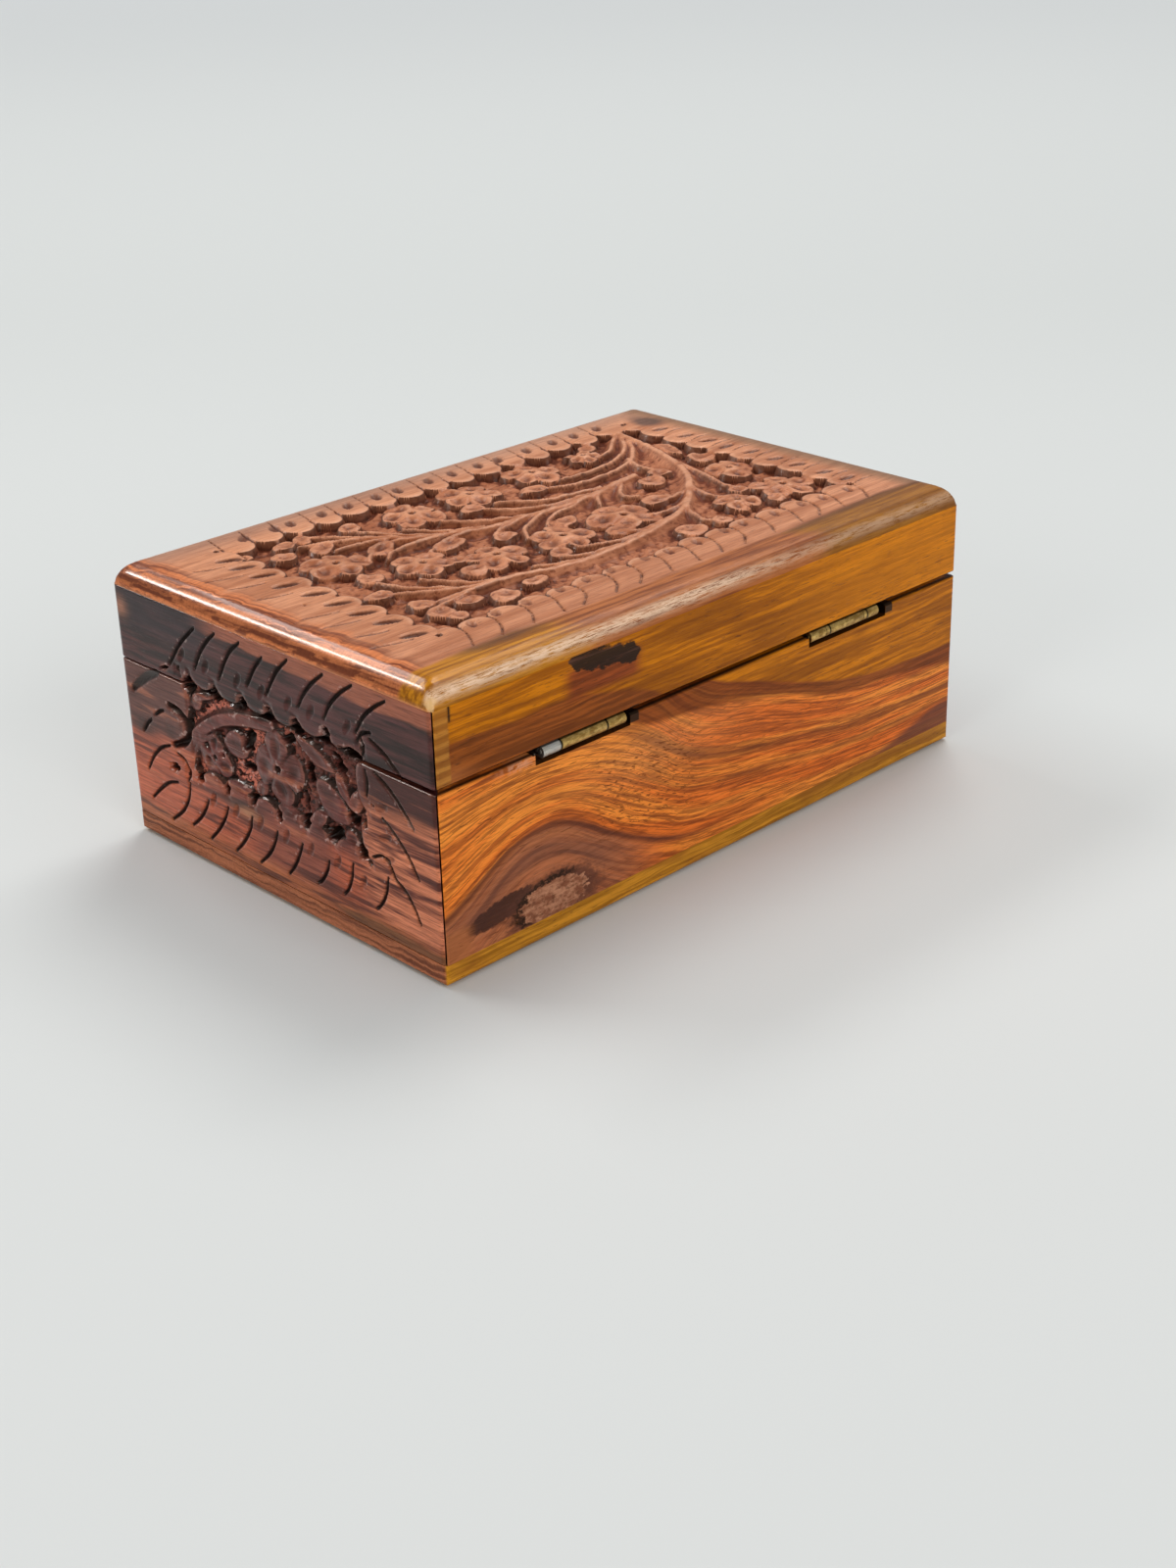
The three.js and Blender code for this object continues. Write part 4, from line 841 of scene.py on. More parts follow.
def carve_front(carving):
    """The whole front, wall and rail together: the vine, and the cuts round it."""
    notches = even_notches(FRONT_LOW_CORNER, FRONT_HIGH_CORNER, FRONT_PITCH)
    inside = lobed_field(carving, FRONT_LOW_CORNER, FRONT_HIGH_CORNER, notches)
    bend = 2 * VINE_REACH / BENDS
    run = np.linspace(-VINE_REACH, VINE_REACH, 4 * BENDS + 1)
    vine = [(u, VINE_LEVEL + VINE_SWING * math.sin(math.pi * (u + VINE_REACH) / bend)) for u in run]
    carving.ridge(vine, level=-0.2, drop=1.5, root=2.4, tip=1.8, crest=0.4)
    for i in range(BENDS):
        side = -1 if i % 2 else 1
        u = -VINE_REACH + (i + 0.5) * bend
        carving.flower((u, VINE_LEVEL - side * 3.2), 5.2, 5, side, level=-0.25)
        for way in (-1, 1):
            carving.boss((u + way * 0.38 * bend, VINE_LEVEL + side * 5.6), 3.5, 2.2, -way * side * 0.6)
    for u in np.linspace(-61, 61, 14):
        carving.cut([(u + 5, 56.6), (u + 0.9, 52.4), (u - 2.2, 49.6), (u - 4, 47.4)], 0.95, 0.9)
        carving.cut([(u + 3, 17), (u + 0.3, 12.6), (u - 1.6, 9.6), (u - 4, 7)], 0.95, 0.9)
    for side in (-1, 1):
        for level in (15, 24, 33):
            carving.cut([(side * 65.5, level + 7), (side * 70, level + 4.4), (side * 74, level)], 0.95, 0.9)
    for u in np.linspace(-56.8, 56.8, 15):
        carving.thumb((u, FRONT_LOW_CORNER[1] - 2.4), 2.1, 1.0, 1.1, 0.8)
        carving.thumb((u, FRONT_HIGH_CORNER[1] + 2.2), 2.1, 1.0, 1.0, 0.8)
    return finish_face(carving, inside, WALL_DEPTH, 77)


def front_board(name, low, high):
    us, vs, face, drop = upright(carve_front, FRONT_REACH, (-76, 76), low, high, 0.4)
    U, V = face["U"], face["V"]
    front = np.stack([U, drop - face["relief"] - HALF_Y, V], -1)
    back_u = U * (HALF_X - MITRE_GAP - THICK) / FRONT_REACH
    back = np.stack([back_u, np.full_like(U, THICK - HALF_Y), V], -1)
    return board(name, us, vs, front, back, face)


for name, body, node, low, high, slot in (
    ("carved_front_wall", "base", "base_front_wall", FLOOR_BOARD, RIM, "wood_red_brown"),
    ("carved_front_rail", "lid", "lid_front_rail", LID_FRONT, SEAM, "wood_golden"),
):
    piece = front_board(name, low, high)
    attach(piece, body)
    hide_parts(node)
    carved_pieces[node] = piece

# %% [markdown]
# ## The plain boards and the brass
# The bottom, the two rear boards and the hinges keep their solids' shape. Welding joins the
# loose triangles, and a small bevel gives each edge the worn line that catches the light.

# %% The plain boards and the brass
brass_nodes = [name for name in nodes if "hinge" in name]
plain_nodes = [name for name in nodes if name not in carved_pieces and name not in brass_nodes]


def soften(piece, width, segments):
    weld = piece.modifiers.new("weld", "WELD")
    weld.merge_threshold = 0.002 * MM
    bevel = piece.modifiers.new("bevel", "BEVEL")
    bevel.width = width * MM
    bevel.segments = segments
    bevel.limit_method = "ANGLE"
    bevel.angle_limit = math.radians(35)


for name in plain_nodes:
    soften(bpy.data.objects[name], 0.3, 2)
for name in brass_nodes:
    soften(bpy.data.objects[name], 0.06, 1)
print("plain boards:", plain_nodes)
print("brass pieces:", len(brass_nodes))

# %% [markdown]
# ## Colours as arithmetic
# A wood colour depends on where in the board a point lies, so most of a wood material is
# arithmetic on the position. `Wire` lets that be written as plain formulas: each sum or product
# adds a math node. All positions are in millimetres, and all colours are written as a picture
# editor shows them, from 0 to 255.

# %% Colours as arithmetic
def linear(red, green, blue):
    shares = [c / 255 for c in (red, green, blue)]
    return tuple(c / 12.92 if c <= 0.04045 else ((c + 0.055) / 1.055) ** 2.4 for c in shares) + (1.0,)


class Wire:
    def __init__(self, tree, socket):
        self.tree, self.socket = tree, socket

    def math(self, operation, *others, clamp=False):
        node = self.tree.nodes.new("ShaderNodeMath")
        node.operation, node.use_clamp = operation, clamp
        for target, value in zip(node.inputs, (self, *others)):
            feed(target, value)
        return Wire(self.tree, node.outputs[0])

    def __add__(self, other):
        return self.math("ADD", other)

    def __sub__(self, other):
        return self.math("SUBTRACT", other)

    def __mul__(self, other):
        return self.math("MULTIPLY", other)

    def __truediv__(self, other):
        return self.math("DIVIDE", other)

    def __neg__(self):
        return self.math("MULTIPLY", -1.0)

    __radd__ = __add__
    __rmul__ = __mul__

    def __rsub__(self, other):
        return -self + other

    def ramp(self, low, high):
        """0 below low, 1 above high, smooth between; low above high turns it round."""
        if low > high:
            return 1 - self.ramp(high, low)
        node = self.tree.nodes.new("ShaderNodeMapRange")
        node.interpolation_type = "SMOOTHSTEP"
        for name, value in (("Value", self), ("From Min", low), ("From Max", high)):
            feed(node.inputs[name], value)
        return Wire(self.tree, node.outputs["Result"])

    def bump_at(self, centre, width):
        """A bell that is 1 at centre and fades over width."""
        away = (self - centre) / width
        return (away * away * -1.0).math("EXPONENT")


def feed(target, value):
    """Joins a wire to a socket, or sets the socket to a colour or a number."""
    if isinstance(value, Wire):
        value.tree.links.new(value.socket, target)
    elif isinstance(value, tuple):
        target.default_value = linear(*value)
    else:
        target.default_value = value


def position(tree):
    """x, y and z in mm, in the frame that every solid shares."""
    place = tree.nodes.new("ShaderNodeTexCoord")
    split = tree.nodes.new("ShaderNodeSeparateXYZ")
    tree.links.new(place.outputs["Object"], split.inputs[0])
    return [Wire(tree, split.outputs[k]) * (1 / MM) for k in range(3)]


def noise(x, y, z, detail=2.0, rough=0.5, twist=0.0):
    """Noise around 0.5 with one bump per unit of x, y and z."""
    tree = x.tree
    place, node = tree.nodes.new("ShaderNodeCombineXYZ"), tree.nodes.new("ShaderNodeTexNoise")
    for target, value in zip(place.inputs, (x, y, z)):
        feed(target, value)
    tree.links.new(place.outputs[0], node.inputs["Vector"])
    for name, value in (("Scale", 1.0), ("Detail", detail), ("Roughness", rough), ("Distortion", twist)):
        node.inputs[name].default_value = value
    return Wire(tree, node.outputs["Fac"])


def blend(share, under, over, kind="MIX"):
    """The colour over, laid on the colour under as far as share says."""
    node = share.tree.nodes.new("ShaderNodeMix")
    node.data_type, node.blend_type, node.clamp_factor = "RGBA", kind, True
    feed(node.inputs["Factor"], share)
    for target, colour in zip((s for s in node.inputs if s.type == "RGBA"), (under, over)):
        feed(target, colour)
    return Wire(share.tree, next(s for s in node.outputs if s.type == "RGBA"))


CURVE_TOP = 100


def curve(value, points):
    """A curve through the points, which are in mm, none higher than CURVE_TOP."""
    low, high = points[0][0], points[-1][0]
    node = value.tree.nodes.new("ShaderNodeFloatCurve")
    line = node.mapping.curves[0]
    place = [((x - low) / (high - low), y / CURVE_TOP) for x, y in points]
    line.points[0].location, line.points[1].location = place[0], place[-1]
    for spot in place[1:-1]:
        line.points.new(*spot)
    node.mapping.update()
    feed(node.inputs["Value"], (value - low) / (high - low))
    return Wire(value.tree, node.outputs[0]) * CURVE_TOP


def attribute(tree, name):
    node = tree.nodes.new("ShaderNodeAttribute")
    node.attribute_name = name
    return Wire(tree, node.outputs["Fac"])


# %% [markdown]
# ## Rosewood, shared by all the boards
# One node group makes what every cut of the wood has in common: long fibres, short open pores
# and broad soft bands. It takes the position turned so that the grain runs along its first
# number. Each board's own material then decides which colours those marks have.

# %% Rosewood, shared by all the boards
def rosewood_group():
    group = bpy.data.node_groups.new("rosewood_grain", "ShaderNodeTree")
    for name in ("Along", "Across", "Deep"):
        group.interface.new_socket(name, in_out="INPUT", socket_type="NodeSocketFloat")
    for name in ("Fibre", "Pores", "Bands", "Height"):
        group.interface.new_socket(name, in_out="OUTPUT", socket_type="NodeSocketFloat")
    ins = group.nodes.new("NodeGroupInput")
    outs = group.nodes.new("NodeGroupOutput")
    along, across, deep = (Wire(group, ins.outputs[k]) for k in range(3))
    fibre = noise(along * 0.09, across * 1.7, deep * 1.7, 5.0, 0.62, 0.3)
    fine = noise(along * 0.3, across * 6.5, deep * 6.5, 2.0, 0.6)
    fibre = fibre * 0.6 + fine * 0.4
    dashes = noise(along * 0.34, across * 4.2, deep * 4.2, 1.0, 0.5)
    pores = dashes.ramp(0.64, 0.74) * noise(along * 0.03, across * 0.2, deep * 0.2).ramp(0.35, 0.6)
    bands = noise(along * 0.012, across * 0.16, deep * 0.16, 3.0, 0.55, 0.8)
    height = fibre - pores * 1.2
    for name, value in (("Fibre", fibre), ("Pores", pores), ("Bands", bands), ("Height", height)):
        group.links.new(value.socket, outs.inputs[name])
    return group


GRAIN = rosewood_group()


def grain(along, across, deep):
    """Fibre, pores, bands and height of the wood, for a board whose grain runs along."""
    node = along.tree.nodes.new("ShaderNodeGroup")
    node.node_tree = GRAIN
    for target, value in zip(node.inputs, (along, across, deep)):
        feed(target, value)
    return [Wire(along.tree, output) for output in node.outputs]


def grained(colour, fibre, pores, shade, dark, fibres=0.35, holes=0.5):
    """Lays the fibres and the open pores over a board's own colours."""
    colour = blend(fibre.ramp(0.42, 0.62) * fibres, colour, shade, "MULTIPLY")
    return blend(pores * holes, colour, dark)


def new_material(name):
    material = bpy.data.materials.new(name)
    material.use_nodes = True
    tree = material.node_tree
    return material, tree, tree.nodes["Principled BSDF"]


def worn_and_shaded(tree, colour, dirt_and_shade, rub_and_highlight, ink_and_shade):
    """Old polish: dirt and painted shade in depths, creases and cuts, painted shade on walls, and on crests
    rubbed edges with a painted highlight.
    """
    hollow, crease, steep, cuts = (attribute(tree, name) for name in MARKS)
    # Crests lightened: rubbed edges of the old polish, with a painted highlight.
    colour = blend(crease.ramp(-0.3, -1.2) * 0.25, colour, rub_and_highlight)
    # Depths and creases darkened: dirt, and painted shade where the carving closes in.
    colour = blend(hollow.ramp(0.4, 1.1) * 0.3, colour, dirt_and_shade, "MULTIPLY")
    colour = blend(crease.ramp(0.1, 1.0) * 0.85, colour, dirt_and_shade, "MULTIPLY")
    # Steep walls painted dark as shade, and cuts darkened with dirt and painted shade.
    colour = blend(steep.ramp(0.4, 1.8) * 0.85, colour, ink_and_shade)
    colour = blend(cuts.ramp(0.0, 0.9) * 0.9, colour, ink_and_shade)
    return colour, hollow.ramp(0.2, 1.0) * 0.3 + 0.34


def emboss(shader, height, strength, depth):
    """Makes the surface catch light as if height stood out of it, by up to depth in mm."""
    node = height.tree.nodes.new("ShaderNodeBump")
    node.inputs["Strength"].default_value = strength
    node.inputs["Distance"].default_value = depth * MM
    feed(node.inputs["Height"], height)
    height.tree.links.new(node.outputs["Normal"], shader.inputs["Normal"])


def finish_wood(shader, colour, height, rough, gloss=0.06, wet=0.14, tint=(1.0, 0.6, 0.35)):
    """Joins colour, roughness and bumps to the shader, under a thin old lacquer."""
    feed(shader.inputs["Base Color"], colour)
    feed(shader.inputs["Roughness"], rough)
    shader.inputs["Specular IOR Level"].default_value = 0.2
    shader.inputs["Specular Tint"].default_value = (*tint, 1.0)
    feed(shader.inputs["Coat Weight"], gloss)
    shader.inputs["Coat Roughness"].default_value = wet
    emboss(shader, height, strength=0.35, depth=0.12)


# %% [markdown]
# ## The top's wood
# The top is a pinkish salmon brown. Its rear edge runs through sapwood, golden at both ends and
# red with a dark fringe between. The hollows are darker than the crests, with dirt and painted
# shade, and keep less polish, and the crests carry a painted highlight. Here and in the next two,
# the pair in each ramp says where on the board, in mm, an effect begins and ends, as measured on
# the photograph.

# %% The top's wood
def top_wood():
    material, tree, shader = new_material("rosewood_top")
    x, y, z = position(tree)
    fibre, pores, bands, height = grain(x, y, z)
    wobble = noise(x * 0.05, y * 0.2, z * 0.2, 3.0) - 0.5
    colour = blend(bands.ramp(0.35, 0.65), (222, 152, 112), (184, 114, 76))
    colour = blend(y.ramp(-38, -48) * 0.6, colour, (178, 142, 122))
    colour = blend(x.ramp(-69, -75), colour, (152, 110, 80))
    slant = noise(x * 1.1 + y * 0.1 + wobble * 3, y * 0.02, z * 1.1, 4.0).ramp(0.4, 0.6)
    right = (x + wobble * 6).ramp(71, 76)
    colour = blend(right, colour, blend(slant, (226, 132, 78), (128, 62, 34)))
    # Painted shadow: a dark band on the round-over over the end, below its white line.
    edge_shadow = z.ramp(62.0, 61.2) * z.ramp(59.4, 60.2) * x.ramp(76, 78)
    colour = blend(edge_shadow * 0.4, colour, (96, 50, 32))
    strip = (y + wobble * 3).ramp(42.2, 43.6)
    gold_right = (x + wobble * 26).ramp(34, 46)
    gold_left = (x + wobble * 26).ramp(-28, -38)
    flame = noise(x * 0.05, y * 0.9, z * 0.9, 3.0).ramp(0.4, 0.62)
    amber = blend(flame, (200, 130, 20), (150, 88, 6))
    amber = blend(x.ramp(0, -40) * 0.6, amber, (128, 78, 26))
    red = blend(flame, (182, 106, 54), (134, 68, 30))
    edge = blend(gold_right + gold_left, red, amber)
    colour = blend(strip, colour, edge)
    line = (y + wobble * 3).bump_at(43.4, 1.3)
    fringe = line * (x + wobble * 10).ramp(38, 50) * x.ramp(70, 60) + line * x.ramp(-22, -34) * 0.8
    colour = blend(fringe * 0.75, colour, (88, 50, 34))
    knot = ((x + 70) * (x + 70) + (y + 38) * (y + 38) * 0.6).math("SQRT") + wobble * 4
    colour = blend(knot.ramp(5.2, 2.2) * 0.8, colour, (70, 56, 52))
    colour = grained(colour, fibre, pores, (122, 72, 50), (84, 46, 32))
    # Dirt and painted shade in the carving's hollows, creases, walls and cuts, and a painted highlight on
    # its crests.
    colour, rough = worn_and_shaded(tree, colour, (140, 84, 56), (244, 190, 156), (76, 34, 20))
    hollow = attribute(tree, "hollow")
    facets = noise(x * 0.8, y * 0.8, z * 0.8, 3.0, 0.6)
    colour = blend(hollow.ramp(0.04, 0.3) * 0.3, colour, (206, 160, 134), "MULTIPLY")
    colour = blend(facets.ramp(0.52, 0.7) * hollow.ramp(0.05, 0.4) * 0.7, colour, (140, 84, 58), "MULTIPLY")
    scuff = noise(x * 0.2, y * 2.4, z * 2.4, 6.0, 0.85)
    # A pale band along the rear round-over: rubbed wear with a painted sheen.
    rubbed_and_sheen = z.bump_at(61.3, 1.2) * y.ramp(49.0, 50.5) * scuff.ramp(0.38, 0.54)
    rubbed_and_sheen = rubbed_and_sheen * (x.ramp(-30, 10) * 0.6 + 0.4)
    colour = blend(rubbed_and_sheen * 0.95, colour, (242, 206, 174))
    nick = noise(x * 0.5, y * 0.5, z * 0.5, 4.0).ramp(0.46, 0.62)
    corner = x.bump_at(79.5, 1.6) * y.bump_at(51.5, 1.6) * z.bump_at(60.5, 3.0)
    colour = blend(corner * nick, colour, (236, 190, 130))
    colour = blend(z.bump_at(58.8, 0.3) * x.ramp(79.4, 79.9) * 0.6, colour, (216, 142, 98))
    polish = x.ramp(74.5, 76.5) * z.ramp(58.9, 60.0)
    height = height * (1 - polish * 0.8) + rubbed_and_sheen * scuff * 2.0 + facets * hollow.ramp(0.02, 0.2) * 3.0
    rough = rough + fibre * 0.1 - polish * 0.18
    finish_wood(shader, colour, height, rough, gloss=polish * 0.14 + 0.06, wet=0.07)
    return material


# %% [markdown]
# ## The ends' wood
# The lid's rail is cut from near-black purple heartwood with a salmon streak along its top. The
# wall under it goes from brown-grey over dusky purple to salmon and orange near the bottom.

# %% The ends' wood
LID_LINE = (RIM + 0.1, RIM + 0.3)


def end_wood():
    material, tree, shader = new_material("rosewood_ends")
    x, y, z = position(tree)
    y = y * x.math("SIGN")
    fibre, pores, _, height = grain(y, z, x)
    wobble = noise(y * 0.05, z * 0.2, x * 0.2, 3.0) - 0.5
    low = z + wobble * 6
    streak = noise(y * 0.03, z * 0.42, x * 0.2, 4.0, 0.62, 0.5)
    hair = noise(y * 0.1, z * 2.2, x, 3.0, 0.6)
    wall = blend(low.ramp(23, 29), (206, 104, 70), (110, 66, 58))
    wall = blend(y.ramp(-32, -22) * z.ramp(17, 23), wall, (124, 64, 58))
    wall = blend(y.ramp(-14, -4) * y.ramp(24, 14) * 0.6, wall, (116, 70, 64))
    salmon = blend(streak.ramp(0.4, 0.6), (236, 144, 104), (128, 62, 48))
    right = blend(low.ramp(30, 36), salmon, (76, 36, 34))
    wall = blend(y.ramp(22, 33), wall, right)
    wall = blend(low.ramp(10, 7), wall, (190, 108, 66))
    wall = blend(streak.ramp(0.48, 0.62) * 0.75, wall, (78, 38, 34))
    wall = blend(streak.ramp(0.44, 0.34) * 0.5, wall, (208, 124, 88))
    smudge = (y + 46).bump_at(0, 5) * z.bump_at(26.8, 2.2)
    stain = (y + 12).bump_at(0, 7) * (z - 18.6 + wobble * 4).bump_at(0, 1.6)
    wall = blend((smudge + stain) * 0.85, wall, (46, 36, 34))
    wall = blend((y + 9.5).bump_at(0, 4) * (z - 17.4 + wobble * 3).bump_at(0, 0.9), wall, (190, 132, 96))
    olive = (y + wobble * 12).ramp(18, 24) * (z + wobble * 4).ramp(8, 6.4)
    wall = blend(olive * 0.8, wall, (116, 76, 46))
    rail = blend(streak.ramp(0.4, 0.6), (92, 50, 50), (36, 18, 22))
    rail = blend(y.ramp(-14, -24) * z.ramp(48, 52) * 0.6, rail, (44, 36, 46))
    band = (low + y * 0.03).ramp(55.0, 56.2) * y.ramp(-26, -10)
    rail = blend(band * 0.85, rail, (180, 104, 76))
    patch = (y + 50).bump_at(0, 2.4) * z.bump_at(54, 2.2)
    rail = blend(patch * 0.8, rail, (186, 124, 94))
    colour = blend(z.ramp(*LID_LINE), wall, rail)
    colour = blend(hair.ramp(0.45, 0.68) * 0.45, colour, (112, 66, 54), "MULTIPLY")
    colour = grained(colour, fibre, pores, (122, 74, 60), (44, 24, 22), fibres=0.4)
    scratch = noise(y * 0.02, z * 9.0, x, 1.0).ramp(0.72, 0.76)
    patches = noise(y * 0.1, z * 0.4, x, 2.0).ramp(0.55, 0.62)
    colour = blend(scratch * patches * 0.6, colour, (190, 168, 160))
    # Dirt and painted shade in the carving's hollows, creases, walls and cuts, and a painted highlight on
    # its crests.
    colour, rough = worn_and_shaded(tree, colour, (104, 56, 50), (196, 128, 108), (12, 6, 6))
    chips = noise(y * 0.9 + z * 0.5, z * 1.5 - y * 0.3, x, 4.0, 0.7)
    crease = attribute(tree, "crease")
    ground = attribute(tree, "hollow").ramp(0.78, 0.98) * attribute(tree, "ink_and_shade").ramp(0.3, 0.0)
    ground = ground * crease.ramp(0.9, 0.35)
    raw = blend(y.ramp(-8, 14), (226, 128, 104), (104, 52, 44))
    colour = blend(ground * 0.92, colour, blend(chips.ramp(0.4, 0.52), (30, 13, 12), raw))
    glint = crease.ramp(-0.15, -0.6) * noise(y * 0.7, z * 0.7, x, 2.0).ramp(0.58, 0.66)
    colour = blend(glint * 0.4, colour, (216, 184, 174))
    rough = rough + fibre * 0.12 - 0.08
    finish_wood(shader, colour, height + ground * chips * 5.0, rough, gloss=0.24, wet=0.1)
    return material


# %% [markdown]
# ## The rear's wood
# The rear wall is the show face of the grain: golden sapwood above a dark line that sinks to the
# left end, orange bands that flow under it, and a knot low at the right which bends the bands
# round itself. Curves drawn along the length say where the sapwood ends, how far down the dark
# line reaches, and where the rail's sapwood begins. A point's share of the height under the
# sapwood, less a bump where the knot lifts the bands, then tells which band it lies in.

# %% The rear's wood
SAPWOOD_EDGE = [
    (-80, 25.3), (-53, 26), (-41, 27.8), (-27.7, 31.2), (-12.3, 36.3), (4, 41.6), (12, 46.5), (20, 55),
    (28, 61.5), (42, 67), (80, 69),
]
DARK_LINE = [
    (-80, 20), (-60, 23), (-41, 24.8), (-27.7, 28.2), (-12.3, 32.9), (4, 35.6), (14, 36.8), (23, 37.8),
    (28, 39.6), (33, 43), (80, 60),
]
RAIL_SAPWOOD = [
    (-80, 30), (10, 39), (18.5, 43.3), (24.6, 46), (33.8, 48.3), (45, 50.7), (60, 50.7), (80, 51.4),
]


def rear_wall_colour(x, y, z, wobble):
    edge, dark_low = curve(x, SAPWOOD_EDGE), curve(x, DARK_LINE)
    lift = x.bump_at(53, 20) * z.ramp(46, 22) * 14
    band = (z - lift + wobble * 1.6) / edge
    ribbon = noise(band * 9 + 2.3, x * 0.012, y * 0.1, 3.0, 0.6)
    fine = noise(band * 42, x * 0.035, y * 0.1, 3.0, 0.6)
    hair = noise(band * 130, x * 0.11, y * 0.3, 2.0, 0.6)
    wall = blend(ribbon.ramp(0.4, 0.6), (255, 152, 58), (240, 120, 42))
    wall = blend(fine.ramp(0.47, 0.6) * 0.55, wall, (140, 64, 28))
    wall = blend(hair.ramp(0.5, 0.57) * 0.55, wall, (112, 50, 24))
    streak = band.bump_at(0.585, 0.035) * x.ramp(34, 20) * fine.ramp(0.25, 0.5)
    wall = blend(streak * 0.8, wall, (116, 54, 28))
    wall = blend(band.bump_at(0.43, 0.02) * x.ramp(8, -8) * 0.6, wall, (136, 66, 32))
    pale = z.bump_at(32, 7) * x.bump_at(18, 22)
    wall = blend(pale * 0.35, wall, (226, 150, 92))
    low = (z - 5 - x.ramp(-48, -80) * 5.2 + wobble * 1.5).ramp(1.2, -0.6) * x.ramp(-44, -56)
    wall = blend(low * 0.85, wall, (108, 60, 48))
    under = band.ramp(0.2, 0.15) * x.ramp(14, 34)
    clay = blend(fine.ramp(0.4, 0.6), (176, 110, 78), (132, 80, 60))
    wall = blend(under * 0.8, wall, clay)
    wall = blend(band.bump_at(0.175, 0.016) * x.ramp(-6, 20) * 0.85, wall, (92, 46, 36))
    halo = band.bump_at(0.09, 0.035) * x.ramp(30, 38)
    wall = blend(halo * 0.5, wall, (96, 62, 56))
    dark = (z - dark_low + wobble * 1.2).ramp(-0.9, 0.7)
    umber = blend(fine.ramp(0.35, 0.6), (138, 66, 22), (110, 48, 14))
    wall = blend(dark * 0.9, wall, umber)
    return wall, (z - edge + wobble * 0.8).ramp(-0.5, 0.5)


KNOT_X, KNOT_Z = 50.5, 8.4


def knot_marks(x, z, wall, speckle):
    """A dead knot: a rough pale heart, a black rim open to the left, and a purple tail."""
    along, up = x - KNOT_X, z - KNOT_Z
    away = ((along / 9.6).math("POWER", 2.0) + (up / 4.6).math("POWER", 2.0)).math("SQRT")
    away = away + (speckle - 0.5) * 0.9
    lens = ((x - 65) / 9.5).math("POWER", 2.0) + ((z - 11.2 + (x - 66) * 0.14) / 2.6).math("POWER", 2.0)
    tail = (lens + (speckle - 0.5) * 1.2).ramp(1.15, 0.75)
    wall = blend(tail * 0.92, wall, (58, 32, 32))
    corner = x.ramp(71, 75) * z.ramp(12.5, 10.5)
    wall = blend(corner * 0.8, wall, (176, 104, 62))
    wall = blend(away.ramp(1.6, 1.1) * 0.85, wall, (96, 56, 46))
    heart = away.ramp(1.0, 0.9)
    crack = away.bump_at(1.06, 0.1) * (along * 0.6 + up).ramp(-1.5, 2.5)
    wall = blend(crack * 0.9, wall, (18, 9, 8))
    flecks = noise(x * 0.33, z * 0.5, 3.0, 5.0, 0.65).ramp(0.4, 0.62)
    pale = blend(flecks, (138, 84, 62), (196, 138, 106))
    pale = blend(speckle.ramp(0.52, 0.66) * 0.6, pale, (92, 56, 42))
    return blend(heart, wall, pale), heart


def golden_colour(fine, cloud):
    amber = blend(fine.ramp(0.4, 0.6), (214, 126, 2), (164, 90, 1))
    return blend(cloud.ramp(0.45, 0.62) * 0.6, amber, (136, 72, 4))


def rear_rail_colour(x, z, wobble, fine, cloud):
    rail = blend(x.ramp(-10, -50) * 0.5, golden_colour(fine, cloud), (228, 136, 2))
    under = (z - curve(x, RAIL_SAPWOOD) + wobble * 2.5).ramp(0.7, -0.7)
    russet = blend(fine.ramp(0.4, 0.6), (150, 74, 28), (108, 50, 18))
    russet = blend(x.ramp(66, 78) * z.ramp(48, 44), russet, (160, 90, 48))
    rail = blend(under * 0.9, rail, russet)
    patch = x.ramp(47, 43) * x.ramp(23, 27) * z.ramp(48.6, 51.0) * z.ramp(57, 55)
    rust = blend(fine.ramp(0.4, 0.6), (150, 62, 34), (108, 42, 24))
    rail = blend(patch * 0.85, rail, rust)
    line = z - 56.2 - (x - 34.6) * 0.17
    torn = noise(x * 0.35, z * 0.55, 0.0, 4.0, 0.7) - 0.5
    stain = (line + torn * 4).math("ABSOLUTE") + x.ramp(42, 47) * 4 + x.ramp(27, 22) * 4
    soot = blend(fine.ramp(0.55, 0.7), (30, 16, 16), (86, 54, 46))
    rail = blend(stain.ramp(2.5, 1.9) * 0.97, rail, soot)
    ribs = blend((z * 2.6).math("SINE").ramp(-0.6, 0.8), (150, 92, 34), (190, 128, 54))
    strip = (x + wobble).ramp(75.6, 76.2)
    rail = blend(strip * 0.8, rail, ribs)
    crack = x.bump_at(75.6, 0.35) * z.ramp(55.0, 56.0)
    return blend(crack, rail, (30, 18, 12))


# %% [markdown]
# ## The rear's boards together
# Rail, wall and bottom board are one material, which changes with the height. The hinge slots, a
# patch at the inner end of each and the line under the lid are painted dark here as shade.

# %% The rear's boards together
SLOT_X = 41
SLOT_HALF = 13.8


def shaded_hinge_gaps(x, y, z):
    """Painted shade in the slots cut for the hinges, on a patch at their inner ends standing for a shaded
    notch, and in the gap under the lid.
    """
    beside = x.math("ABSOLUTE") - SLOT_X
    slot = beside.ramp(SLOT_HALF + 0.1, SLOT_HALF - 0.1) * beside.ramp(-SLOT_HALF - 0.1, 0.1 - SLOT_HALF)
    slot = slot * y.ramp(52.0, 51.8) * z.ramp(38.0, 38.4) * z.ramp(43.6, 43.3)
    along_hinge = beside * x.math("SIGN")
    notch = along_hinge.ramp(-13.0, -13.3) * along_hinge.ramp(-15.8, -15.5)
    notch = notch * z.ramp(39.4, 39.7) * z.ramp(43.2, 43.0)
    gap = z.ramp(41.2, 41.6) * z.ramp(43.0, 42.6) * y.ramp(50.4, 51.2)
    return gap + slot + notch


